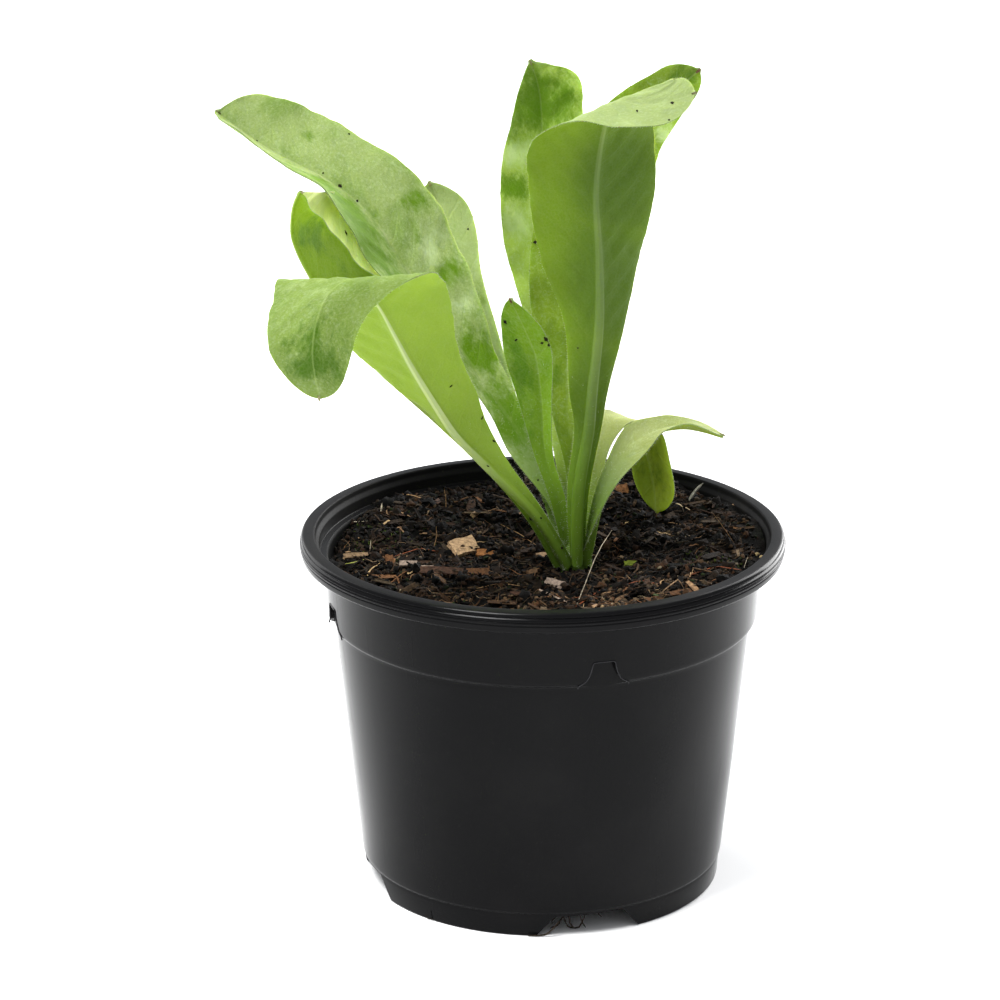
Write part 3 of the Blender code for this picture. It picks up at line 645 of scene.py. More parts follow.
# %% Give the faces their finishes and join the beads
TOP_FROM = 88
INSIDE_FROM = 70
for finish in (wall_plastic, lip_plastic, inside_plastic):
    pot.data.materials.append(finish)
for face in pot.data.polygons:
    if face.normal.z > 0.8 and face.center.z > TOP_FROM * MM:
        face.material_index = 1
    inward = Vector((POT_X * MM - face.center.x, POT_Y * MM - face.center.y, 0)).normalized()
    if face.normal.dot(inward) > 0.25 and face.center.z > INSIDE_FROM * MM:
        face.material_index = 2
for item in beads:
    item.data.materials.append(bead_highlight_plastic)
join_to(pot, beads)
keep(pot, "nursery_pot", replaces=["pot"])

# %% [markdown]
# ## The soil: its heights
# Potting soil is heaped by hand: here it stands higher on the right, lower on the left, has a
# mound at the back left and a dish round the crown. One function gives its height at any place,
# so that the surface, and later each crumb and chip, agree. Three sizes of noise add clods,
# lumps and grains.

# %% Height of the soil
CROWN = (8.0, -6.5)
SOIL_HEIGHT = 84.2
DISH_DEPTH, DISH_WIDTH = 2.6, 18.0
MOUND = (-43.0, 30.0)
MOUND_HEIGHT, MOUND_WIDTH = 3.0, 11.0
SLOPE_RIGHT, SLOPE_BACK = 0.06, 0.02


# Where the pot's inner wall changes its slope: height, radius there, and slope from there up
INNER_WALL = [(84.4, 55.1, 0.0), (77.4, 52.3, 0.1), (FLOOR_TOP, 44.1, 0.112)]


def wall_inside(height):
    """Radius of the pot's inner wall at a height."""
    for low, radius, slope in INNER_WALL:
        if height > low:
            break
    return radius + (height - low) * slope


def soil_rise(x, y):
    """Height of the soil's surface at a place, in millimetres."""
    from_crown = math.hypot(x - CROWN[0], y - CROWN[1])
    from_mound = math.hypot(x - MOUND[0], y - MOUND[1])
    dish = DISH_DEPTH * math.exp(-(from_crown / DISH_WIDTH) ** 2 / 2)
    mound = MOUND_HEIGHT * math.exp(-(from_mound / MOUND_WIDTH) ** 2 / 2)
    calm = min(1.0, 0.3 + from_crown / 14)
    clods = 1.5 * noise.noise((x * 0.09, y * 0.09, 3.1))
    clods = clods + 1.0 * noise.noise((x * 0.21, y * 0.21, 7.7))
    lumps = 0.75 * noise.noise((x * 0.5, y * 0.5, 1.3))
    lumps = lumps + 0.35 * noise.noise((x * 1.1, y * 1.1, 5.9))
    height = SOIL_HEIGHT + SLOPE_RIGHT * x + SLOPE_BACK * y - dish + mound + calm * (clods + lumps)
    return height - 0.2 * max(0.0, math.hypot(x, y) - 51.0)


print("soil beside the crown at %.1f mm" % soil_rise(8, -12))
print("soil at the right wall at %.1f mm" % soil_rise(53, 0))

# %% [markdown]
# ## The soil: its body
# The soil fills the pot, so it is turned like the pot from a path that runs down the wall and
# across the floor. Its top has a ring every 0.8 mm, and each corner there is then lifted to the
# height that the function gives. That is the same as a Displace modifier, but the crumbs can ask
# the function where the ground is.

# %% Turn and lift the soil
SOIL_EDGE = 53.0
SOIL_RINGS = 66
SOIL_SIDES = 300
soil_path = [Vector((SOIL_EDGE * ring / SOIL_RINGS, SOIL_HEIGHT)) for ring in range(SOIL_RINGS + 1)]
soil_path += [Vector((52.7, 81.0)), Vector((52.2, 77.8)), Vector((51.5, 76.4)),
              Vector((44.3, 10.4)), Vector((43.4, FLOOR_TOP + 0.1)), Vector((0.0, FLOOR_TOP + 0.1))]
soil = turned("soil_body", soil_path, SOIL_SIDES)
for vertex in soil.data.vertices:
    x = vertex.co.x / MM - POT_X
    y = vertex.co.y / MM - POT_Y
    if vertex.co.z > (SOIL_HEIGHT - 0.01) * MM:
        height = soil_rise(x, y)
        radius = math.hypot(x, y)
        share = (radius / SOIL_EDGE) ** 6
        spread = 1 + share * (wall_inside(height) / SOIL_EDGE - 1)
        vertex.co = placed((x * spread, y * spread, height))
smooth(soil, 60)
print("soil:", len(soil.data.polygons), "faces")

# %% [markdown]
# ## Dark soil
# Damp peat and composted bark is nearly black in the hollows, brown on the crumbs, and has a
# grey-green film of algae and moss where it stays wet. Noise at three sizes mixes the browns,
# and the bump makes the ground between the crumbs rough. The algae are kept to a few patches.

# %% Material of the soil
earth, given, result = new_group(
    "potting_earth",
    {"Dark": ("Color", (0, 0, 0, 1)), "Brown": ("Color", (0.1, 0.06, 0.03, 1)),
     "Moss": ("Color", (0.05, 0.07, 0.03, 1)), "Moss Amount": ("Float", 0.3)},
    {"Colour": "Color", "Height": "Float"})
spot = add(earth, "ShaderNodeTexCoord").outputs["Object"]
coarse = noise_at(earth, spot, 320.0, 6.0, Roughness=0.7)
fine = noise_at(earth, spot, 1500.0, 4.0, Roughness=0.7)
broad = noise_at(earth, spot, 60.0, 4.0)
brown = times(earth, step_up(earth, coarse, 0.42, 0.70),
              step_up(earth, fine, 0.35, 0.65, 0.3, 1.0))
mossy = times(earth, step_up(earth, broad, 0.54, 0.66), given["Moss Amount"])
mossy = times(earth, mossy, step_up(earth, fine, 0.38, 0.62))
colour = blend(earth, mossy, blend(earth, brown, given["Dark"], given["Brown"]), given["Moss"])
join_up(earth, [
    (colour, result["Colour"]),
    (plus(earth, coarse, times(earth, fine, 0.5)), result["Height"]),
])


def earth_finish(name, dark, brown, moss, amount):
    finish, shader = group_finish(name, earth, 0.9, 0.0007, Dark=dark, Brown=brown, Moss=moss,
                                  Moss_Amount=amount)
    shader.inputs["Roughness"].default_value = 0.92
    shader.inputs["Specular IOR Level"].default_value = 0.1
    return finish


soil_finish = earth_finish("damp_soil", tone(2, 2, 1), tone(22, 16, 11), tone(20, 26, 14), 0.6)
keep(soil, "potting_soil_bed", [soil_finish], ["potting_soil"])

# %% [markdown]
# ## Litter on the soil: the shapes
# What makes soil look like soil is what lies on it: crumbs, thin bark flakes and dry fibres.
# Each kind is modelled once from a primitive, with few faces, and its corners are kept as an
# array. A crumb is a lumpy sphere, and a flake is a thin ragged plate with a bend.

# %% Model crumbs and flakes


def as_array(item):
    """The corners and faces of an object, which is then deleted from the scene."""
    points = np.array([tuple(vertex.co) for vertex in item.data.vertices])
    faces = [tuple(face.vertices) for face in item.data.polygons]
    bpy.data.objects.remove(item, do_unlink=True)
    return points, faces


def model_crumb(detail, roughness, seed):
    start()
    bpy.ops.mesh.primitive_ico_sphere_add(subdivisions=detail, radius=1)
    crumb = bpy.context.object
    for vertex in crumb.data.vertices:
        swell = noise.noise(vertex.co * 1.4 + Vector((seed, 0, 0)))
        vertex.co *= 1 + roughness * swell
    return as_array(crumb)


def model_flake(seed):
    start()
    bpy.ops.mesh.primitive_cube_add(size=2)
    flake = bpy.context.object
    edit()
    bpy.ops.mesh.subdivide(number_cuts=1)
    close_edit()
    draw = random.Random(seed)
    for vertex in flake.data.vertices:
        x, y, z = vertex.co
        ragged = draw.uniform(0.72, 1.15)
        vertex.co = (x * ragged, y * draw.uniform(0.7, 1.1) * (1 - 0.25 * abs(x)),
                     z * 0.16 + 0.25 * y * y + 0.12 * x)
    return as_array(flake)


crumbs = [model_crumb(2, 0.75, seed) for seed in (1.5, 8.2, 14.9)]
grains = [model_crumb(1, 0.9, seed) for seed in (3.5, 6.2)]
flakes = [model_flake(seed) for seed in (1, 2, 3)]
print("faces of one crumb and one flake:", len(crumbs[0][1]), len(flakes[0][1]))

# %% [markdown]
# ## Litter on the soil: rods
# A rod is a small polygon that is extruded upwards in even steps, so that it can be bent later.
# The thick one has four sides, and the thin one, of which there will be very many, has three.

# %% Model two rods


def model_rod(sides, steps):
    """A rod of unit radius that stands from height 0 to 1."""
    start()
    bpy.ops.mesh.primitive_circle_add(vertices=sides, radius=1, fill_type="NGON")
    rod = bpy.context.object
    edit()
    for number in range(steps):
        bpy.ops.mesh.extrude_region_move(TRANSFORM_OT_translate={"value": (0, 0, 1 / steps)})
    close_edit()
    return as_array(rod)


rod = model_rod(4, 7)
thin_rod = model_rod(3, 3)
print("faces of the two rods:", len(rod[1]), len(thin_rod[1]))

# %% [markdown]
# ## Litter on the soil: gathering copies
# Thousands of turned and stretched copies are joined into one mesh, and each copy carries its
# own colour in an attribute. A heap collects the copies until it is made that mesh. Stiff bits
# are turned and stretched as a whole. A rod is laid along a curved path instead, so the same rod
# serves for fibres, roots and moss: its height becomes the place along the path.

# %% A heap of copies


class Heap:
    """Copies of small shapes that will become one mesh with a colour on each corner."""

    def __init__(self):
        self.points = []
        self.faces = []
        self.colours = []
        self.count = 0

    def put(self, points, faces, colour):
        base = self.count
        self.points.append(points)
        self.faces.extend(tuple(base + corner for corner in face) for face in faces)
        self.colours.append(np.tile(np.array(colour, dtype=float), (len(points), 1)))
        self.count += len(points)

    def put_bit(self, shape, place, size, turn, colour):
        points, faces = shape
        turned_points = (points * np.array(size)) @ np.array(turn.to_matrix()).T
        self.put(turned_points + np.array(place), faces, colour)

    def put_strand(self, shape, path, width, thickness, colour, up=(0, 0, 1), taper=(0.7, 0.25)):
        """Lays a rod along a path. taper is its share of the width at the start and the end."""
        points, faces = shape
        path = [Vector(point) for point in path]
        laid = np.zeros_like(points)
        for number, (x, y, z) in enumerate(points):
            at = min(max(z, 0.0), 1.0) * (len(path) - 1)
            low = min(int(at), len(path) - 2)
            middle = path[low].lerp(path[low + 1], at - low)
            ahead = (path[min(low + 2, len(path) - 1)] - path[max(low - 1, 0)]).normalized()
            aside = ahead.cross(Vector(up)).normalized()
            above = aside.cross(ahead)
            full = math.sin(math.pi * min(max(0.12 + 0.76 * z, 0), 1)) ** 0.5
            share = min(full, taper[0] + (1 - taper[0]) * 6 * z,
                        taper[1] + (1 - taper[1]) * 6 * (1 - z))
            half = share / 2
            laid[number] = middle + aside * (x * width * half) + above * (y * thickness * half)
        self.put(laid, faces, colour)

    def gather(self, name, finish, angle=50):
        """Makes the mesh. Points are in millimetres from the pot's axis until now."""
        points = (np.concatenate(self.points) + np.array((POT_X, POT_Y, 0))) * MM
        mesh = bpy.data.meshes.new(name)
        mesh.from_pydata(points.tolist(), [], self.faces)
        colours = mesh.attributes.new("bit_colour", "FLOAT_COLOR", "POINT")
        colours.data.foreach_set("color", np.concatenate(self.colours).astype(np.float32).ravel())
        item = bpy.data.objects.new(name, mesh)
        bpy.context.scene.collection.objects.link(item)
        pick(item)
        edit()
        close_edit()
        smooth(item, angle)
        return keep(item, name, [finish])


print("a heap takes bits and strands")

# %% [markdown]
# ## Litter on the soil: chance
# No two crumbs lie alike. Each copy is turned at random, and its place is drawn evenly from a
# disc: the square root keeps the middle from getting more than its share. The generator starts
# from a fixed number, so every run gives the same soil.

# %% Random turns and places


def random_turn(draw, lean=3.2):
    """A turn about the upright axis after a tilt of at most lean."""
    angle = draw.uniform(-lean, lean)
    axis = Vector((draw.gauss(0, 1), draw.gauss(0, 1), 0.01)).normalized()
    tilt = Matrix.Rotation(angle, 3, axis)
    return (Matrix.Rotation(draw.uniform(0, 2 * math.pi), 3, "Z") @ tilt).to_quaternion()


def on_disc(draw, radius):
    """A random place on the soil."""
    reach = radius * math.sqrt(draw.random())
    angle = draw.uniform(0, 2 * math.pi)
    return reach * math.cos(angle), reach * math.sin(angle)


print("random turns and places ready")

# %% [markdown]
# ## Colour of the litter
# Each bit's colour comes from its attribute, and a little noise makes it uneven, darker in its
# pores and lighter on its worn edges. One material therefore serves for peat, bark and straw.

# %% Material of the litter


def litter_finish(name, roughness, bump_height, darkest=0.45, palest=1.35):
    finish, tree, shader = new_finish(name)
    colour = add(tree, "ShaderNodeAttribute", {"attribute_name": "bit_colour"}).outputs["Color"]
    spot = add(tree, "ShaderNodeTexCoord").outputs["Object"]
    uneven = noise_at(tree, spot, 1300.0, 4.0, Roughness=0.65)
    shade = step_up(tree, uneven, 0.30, 0.72, darkest, palest)
    grey = add(tree, "ShaderNodeCombineColor", Red=shade, Green=shade, Blue=shade).outputs[0]
    bump = add(tree, "ShaderNodeBump", Strength=0.8, Distance=bump_height, Height=uneven)
    join_up(tree, [
        (blend(tree, 1.0, colour, grey, "MULTIPLY"), shader.inputs["Base Color"]),
        (bump.outputs[0], shader.inputs["Normal"]),
    ])
    shader.inputs["Roughness"].default_value = roughness
    shader.inputs["Specular IOR Level"].default_value = 0.12
    return finish


litter = litter_finish("soil_litter", 0.88, 0.0004)
PEAT = [tone(12, 10, 8), tone(20, 16, 12), tone(34, 27, 19), tone(56, 43, 30)]
BARK = [tone(54, 41, 29), tone(82, 59, 40), tone(112, 78, 52), tone(142, 112, 82),
        tone(108, 90, 68)]
STRAW = [tone(150, 120, 84), tone(176, 148, 108), tone(120, 86, 58), tone(190, 170, 136)]
MOSS = [tone(60, 74, 38), tone(76, 88, 50)]
print("litter has", len(PEAT) + len(BARK) + len(STRAW) + len(MOSS), "colours")

# %% [markdown]
# ## Scattering the crumbs
# Real potting soil has a few large clods and very many small grains, so sizes follow a steep curve.
# A fixed random seed gives the same heap at each run. The crumbs sink half into the ground and stay
# clear of the crown and the wall. Each bit's colour is also darkened by where it lies: in random
# damp patches, and as painted shade towards the back and the left.

# %% Scatter the crumbs
CRUMB_COUNT = 1850
CRUMB_SPREAD = 53.2
STEM_CLEAR = 5.5
WALL_CLEAR = 54.0


def damp_and_shaded(colour, x, y):
    """Darkens a colour as painted shade towards the back and the left, and in random damp patches.
    """
    # Painted shade: the soil is darker the further back and the further left it lies; the noise
    # patches are damp soil.
    toward_front = min(1.0, max(0.0, (-y - 14) / 26))
    patch = 0.85 + 0.9 * noise.noise((x * 0.11, y * 0.11, 9.5))
    shaded = 1 - 0.35 * min(1.0, max(0.0, (-x - 24) / 18))
    strength = (0.20 + 0.34 * toward_front) * max(0.35, patch) * shaded
    return tuple(value * strength for value in colour[:3]) + (1.0,)


def crown_distance(x, y):
    return math.hypot(x - CROWN[0], y - CROWN[1])


draw = random.Random(21)
crumb_heap = Heap()
for number in range(CRUMB_COUNT):
    x, y = on_disc(draw, CRUMB_SPREAD)
    size = 0.45 + 1.25 * draw.random() ** 3
    if crown_distance(x, y) < STEM_CLEAR or math.hypot(x, y) + size > WALL_CLEAR:
        continue
    stretch = (size * draw.uniform(0.8, 1.4), size * draw.uniform(0.7, 1.1),
               size * draw.uniform(0.5, 0.9))
    place = (x, y, soil_rise(x, y) + size * draw.uniform(-0.35, 0.35))
    colour = damp_and_shaded(draw.choice(PEAT if draw.random() < 0.7 else BARK[:3]), x, y)
    crumb_heap.put_bit(draw.choice(crumbs), place, stretch, random_turn(draw), colour)
crumb_heap.gather("soil_crumbs", litter, 60)

# %% [markdown]
# ## Scattering the grains
# Between the crumbs lie thousands of grains of half a millimetre. Most are peat, a third are
# bark, and a few are moss or straw.

# %% Scatter the grains
GRAIN_COUNT = 5200
GRAIN_SPREAD = 53.6
grain_heap = Heap()
for number in range(GRAIN_COUNT):
    x, y = on_disc(draw, GRAIN_SPREAD)
    size = draw.uniform(0.25, 0.65)
    stretch = (size * draw.uniform(0.8, 1.5), size, size * draw.uniform(0.6, 1.0))
    place = (x, y, soil_rise(x, y) + draw.uniform(-0.1, 0.9))
    choice = draw.random()
    kind = PEAT if choice < 0.60 else BARK if choice < 0.93 else MOSS if choice < 0.97 else STRAW
    colour = damp_and_shaded(draw.choice(kind), x, y)
    grain_heap.put_bit(draw.choice(grains), place, stretch, random_turn(draw), colour)
grain_heap.gather("soil_grains", litter, 60)

# %% [markdown]
# ## Scattering the flakes
# Thin flakes of bark lie at a low tilt on top of the crumbs. One in seven is dry and keeps its full
# colour, without the damp patches and the painted shade, which gives the soil its brown sparkle.

# %% Scatter the flakes
FLAKE_COUNT = 560
FLAKE_SPREAD = 52.0
FLAKE_WALL_CLEAR = 53.4
flake_heap = Heap()
for number in range(FLAKE_COUNT):
    x, y = on_disc(draw, FLAKE_SPREAD)
    long = 0.8 + 2.2 * draw.random() ** 2.2
    if crown_distance(x, y) < STEM_CLEAR + long or math.hypot(x, y) + long > FLAKE_WALL_CLEAR:
        continue
    stretch = (long * 1.2, long * draw.uniform(0.22, 0.5), 0.6)
    place = (x, y, soil_rise(x, y) + draw.uniform(0.2, 1.0))
    kind = BARK if draw.random() < 0.86 else PEAT if draw.random() < 0.7 else STRAW
    colour = draw.choice(kind)
    colour = damp_and_shaded(colour, x, y) if draw.random() < 0.86 else colour
    flake_heap.put_bit(draw.choice(flakes), place, stretch, random_turn(draw, 0.55), colour)
flake_heap.gather("bark_flakes", litter, 40)

# %% [markdown]
# ## Scattering the fibres
# Peat is full of fine fibres. Each is a rod laid along eight points that bend a little and
# follow the ground, and rise towards one end. Points past the wall are drawn back inside it.

# %% Scatter the fibres
FIBRE_COUNT = 1500
FIBRE_SPREAD = 50.0
FIBRE_EDGE = 53.2
FIBRE_POINTS = 8
fibre_heap = Heap()
for number in range(FIBRE_COUNT):
    x, y = on_disc(draw, FIBRE_SPREAD)
    length = 2.0 + 7.5 * draw.random() ** 2.2
    heading = draw.uniform(0, 2 * math.pi)
    curl = draw.uniform(-0.12, 0.12)
    rise = draw.uniform(0.0, 0.5)
    path = []
    for step in range(FIBRE_POINTS):
        away = length * (step / (FIBRE_POINTS - 1) - 0.5)
        bent = heading + curl * away
        px = x + away * math.cos(bent)
        py = y + away * math.sin(bent)
        reach = math.hypot(px, py)
        if reach > FIBRE_EDGE:
            px, py = px * FIBRE_EDGE / reach, py * FIBRE_EDGE / reach
        path.append((px, py, soil_rise(px, py) + 0.45 + rise * step * 0.25))
    width = 0.14 + 0.42 * draw.random() ** 2.5
    colour = draw.choice(BARK if draw.random() < 0.88 else STRAW)
    colour = damp_and_shaded(colour, x, y) if draw.random() < 0.85 else colour
    fibre_heap.put_strand(rod, path, width, width * 0.6, colour)
fibre_heap.gather("dry_fibres", litter, 70)

# %% [markdown]
# ## The leaves: their stations
# Each leaf is a long soft spoon that bends, twists and folds over in its own way, so each is
# measured on its own. A station is a point on the midrib and the two steps from it to the left
# and right margin, in millimetres. Seven to thirteen stations describe a leaf. They follow those
# of the CAD model, so that the finer leaf keeps the CAD leaf's form, with some margins moved by
# a few millimetres to meet the photograph.
#
# Besides its stations a leaf has the length at which the crown's stalk ends ("cut"), the height and
# number of the waves of its margin, how much it is cupped, and for some leaves a calmer surface
# ("calm"), a thinner rib ("rib") or another roundness of the tip ("tip": where it starts, and how
# blunt it is left and right). "paint" lists patches that the photograph shows: kind, place across
# and along the leaf, half width and half length, and strength. The kinds are deep green, pale bloom
# and shade. The shade patches are painted shade, and the deep and pale ones are partly the leaf's
# own mottle and partly painted shade and painted sheen.

# %% Stations of the four leaves at the left
LEAVES = {
    "leaf_far_left": {
        "cut": 19.0, "wave": 0.7, "waves": 4.5, "seed": 1, "cup": 0.10,
        "tip": (0.955, 2.6, 2.6),
        # The pale patches are partly painted sheen and the deep ones partly painted shade; the
        # shade patch is painted shade on the stalk.
        "paint": [
            ("deep", 8.5, 124.0, 2.6, 6.0, 0.45), ("deep", 12.5, 98.0, 5.4, 3.6, 0.75),
            ("deep", -9.0, 100.0, 9.0, 30.0, 1.0), ("deep", 0.0, 40.0, 8.0, 12.0, 1.0),
            ("deep", 7.0, 92.0, 1.8, 6.5, 0.5), ("deep", 9.5, 78.5, 7.0, 4.0, 0.8),
            ("deep", 3.6, 58.0, 5.6, 9.0, 1.0), ("deep", 6.8, 140.0, 4.5, 1.3, 0.35),
            ("deep", 1.0, 105.0, 1.7, 14.0, 0.45), ("deep", -2.5, 55.0, 3.0, 14.0, 0.6),
            ("pale", 8.0, 87.0, 6.4, 4.6, 0.75), ("pale", 8.2, 70.7, 5.0, 3.0, 0.8),
            ("shade", 0.0, 28.0, 5.0, 16.0, 0.55),
        ],
        "stations": [
            ((7.0, 1.0, 80.0), (-1.4, -1.0, 0.0), (1.4, 1.0, 0.0)),
            ((4.4, 2.3, 95.0), (-2.2, -1.8, 0.0), (2.4, 1.8, 0.5)),
            ((-4.0, 5.0, 110.3), (-4.0, -2.2, -1.4), (3.4, 1.6, 1.0)),
            ((-10.5, 7.0, 120.2), (-2.7, -3.4, -1.0), (4.2, 2.0, 1.4)),
            ((-20.0, 8.0, 134.2), (-3.0, -6.5, 0.5), (6.7, 4.0, 3.3)),
            ((-33.1, 9.0, 154.7), (-5.6, -12.6, 0.8), (11.8, 8.0, 5.6)),
            ((-40.8, 9.0, 166.8), (-5.0, -14.2, 1.2), (11.8, 8.5, 6.2)),
            ((-47.6, 9.0, 174.0), (-3.6, -14.2, 2.0), (8.4, 8.0, 8.6)),
            ((-54.5, 9.0, 178.8), (-1.8, -12.5, 2.2), (6.6, 8.0, 9.8)),
            ((-63.0, 9.0, 183.2), (-0.8, -10.0, 1.9), (6.8, 8.0, 9.4)),
            ((-69.8, 9.0, 187.4), (-0.5, -8.0, 2.0), (7.4, 6.6, 7.6)),
            ((-78.8, 8.0, 194.6), (-1.0, -6.6, 0.4), (6.4, 4.2, 5.4)),
        ],
    },
    "leaf_front_left": {
        "cut": 19.0, "wave": 0.8, "waves": 3.5, "seed": 2, "cup": 0.08,
        "rib": 0.6,
        # The deep patches low on the hanging flap are painted shade, and the pale one at its crest
        # is a painted highlight.
        "paint": [
            ("pale", 12.0, 119.0, 5.0, 5.0, 0.2), ("deep", 1.0, 141.6, 6.0, 4.0, 0.9),
            ("deep", -2.0, 138.0, 10.0, 10.0, 0.7), ("deep", 3.0, 128.0, 7.0, 4.0, 0.35),
            ("deep", 8.0, 70.0, 3.0, 14.0, 0.4),
        ],
        "stations": [
            ((7.6, -2.0, 80.0), (1.3, -0.8, 0.2), (-1.0, 0.7, 0.0)),
            ((-1.2, -8.5, 96.8), (1.5, -0.8, 1.2), (-0.9, 0.8, 0.0)),
            ((-12.4, -14.0, 110.6), (3.6, 0.6, 2.4), (-1.5, 1.6, -0.4)),
            ((-20.7, -19.0, 121.0), (6.8, 2.6, 2.6), (-2.3, 3.6, -1.0)),
            ((-24.8, -23.0, 128.6), (8.5, 3.4, 2.8), (-3.4, 6.0, -2.6)),
            ((-31.3, -30.0, 142.0), (10.4, 4.0, 4.8), (-7.4, 7.0, -4.2)),
            ((-35.9, -36.0, 153.0), (13.6, 4.5, 5.6), (-10.2, 6.5, -6.2)),
            ((-39.7, -43.0, 162.6), (15.7, 5.0, 3.0), (-14.6, 5.0, -4.0)),
            ((-44.5, -51.0, 170.6), (17.8, 4.0, 0.2), (-17.4, 4.0, -1.4)),
            ((-50.0, -58.0, 169.2), (15.8, 4.0, 0.8), (-13.4, 4.0, -2.8)),
            ((-53.0, -62.0, 163.0), (10.8, 3.0, -0.6), (-11.4, 4.0, -2.0)),
            ((-53.9, -63.0, 154.6), (8.8, 2.0, -1.6), (-9.8, 3.0, -0.4)),
            ((-52.5, -61.0, 144.2), (8.0, 1.0, -0.6), (-7.6, 2.0, -0.6)),
        ],
    },
    "leaf_back_left": {
        "cut": 19.0, "wave": 0.8, "waves": 4.0, "seed": 3, "cup": 0.08,
        "tip": (0.93, 2.3, 2.3),
        "paint": [("deep", -6.0, 108.0, 7.0, 6.0, 0.7), ("deep", -11.0, 98.0, 3.0, 8.0, 0.5)],
        "stations": [
            ((6.4, -0.6, 80.0), (0.9, -1.3, 0.4), (-0.9, 1.3, 0.0)),
            ((-0.9, -3.2, 93.8), (1.2, -1.9, 1.0), (-0.4, 2.0, 0.4)),
            ((-11.0, -6.0, 107.2), (1.6, -2.0, 1.6), (0.8, 2.4, 1.6)),
            ((-24.4, -9.0, 121.2), (3.6, -3.0, 3.6), (2.8, 4.0, 3.6)),
            ((-37.2, -10.0, 133.5), (8.0, -5.0, 7.0), (6.0, 7.0, 6.0)),
            ((-47.9, -8.5, 145.6), (11.0, -8.0, 10.6), (11.0, 12.0, 6.2)),
            ((-55.0, -9.0, 157.2), (9.0, -9.0, 10.0), (10.8, 12.0, 8.4)),
            ((-59.6, -9.0, 167.4), (7.0, -8.0, 6.4), (9.9, 10.5, 6.4)),
            ((-59.6, -8.5, 174.0), (4.2, -4.6, 1.8), (8.6, 8.0, 3.6)),
            ((-58.2, -7.5, 178.4), (3.0, -2.5, 0.0), (6.6, 6.6, 0.4)),
        ],
    },
    "leaf_inner_left": {
        "cut": 20.0, "wave": 0.6, "waves": 4.0, "seed": 4, "cup": 0.06,
        "calm": 0.25,
        # The shade patch is painted shade lower down the leaf.
        "paint": [("deep", 2.0, 74.0, 4.0, 6.0, 0.4), ("shade", 0.0, 48.0, 4.0, 12.0, 0.6)],
        "stations": [
            ((6.6, 2.6, 80.0), (-1.4, -0.5, 0.0), (1.4, 0.5, 0.0)),
            ((1.4, 9.6, 97.0), (-2.2, -0.5, 0.0), (2.2, 0.7, 0.0)),
            ((-4.6, 15.8, 108.0), (-2.5, -0.6, 0.0), (2.5, 0.4, 0.0)),
            ((-10.5, 22.0, 119.0), (-3.6, -1.0, -1.0), (3.6, 0.2, 0.0)),
            ((-16.0, 27.0, 133.0), (-5.8, -1.4, -1.4), (4.8, 0.2, 0.4)),
            ((-20.0, 31.0, 146.0), (-6.4, -1.6, -1.4), (4.8, 0.2, 0.8)),
            ((-23.0, 33.0, 157.0), (-6.6, -1.6, -1.0), (6.5, 0.0, 0.8)),
            ((-26.0, 34.0, 164.8), (-5.6, -1.6, -1.0), (6.8, -0.4, 1.2)),
            ((-28.0, 33.0, 169.6), (-4.0, -1.0, -0.6), (5.4, -0.4, 1.4)),
        ],
    },
}
print(len(LEAVES), "leaves at the left")

# %% [markdown]
# ## The leaves: the middle and the right
# The centre leaf is the shortest of these four, and two tall ones stand behind it. The leaf at
# the front right is the highest: it folds at its top and reaches out to the right.

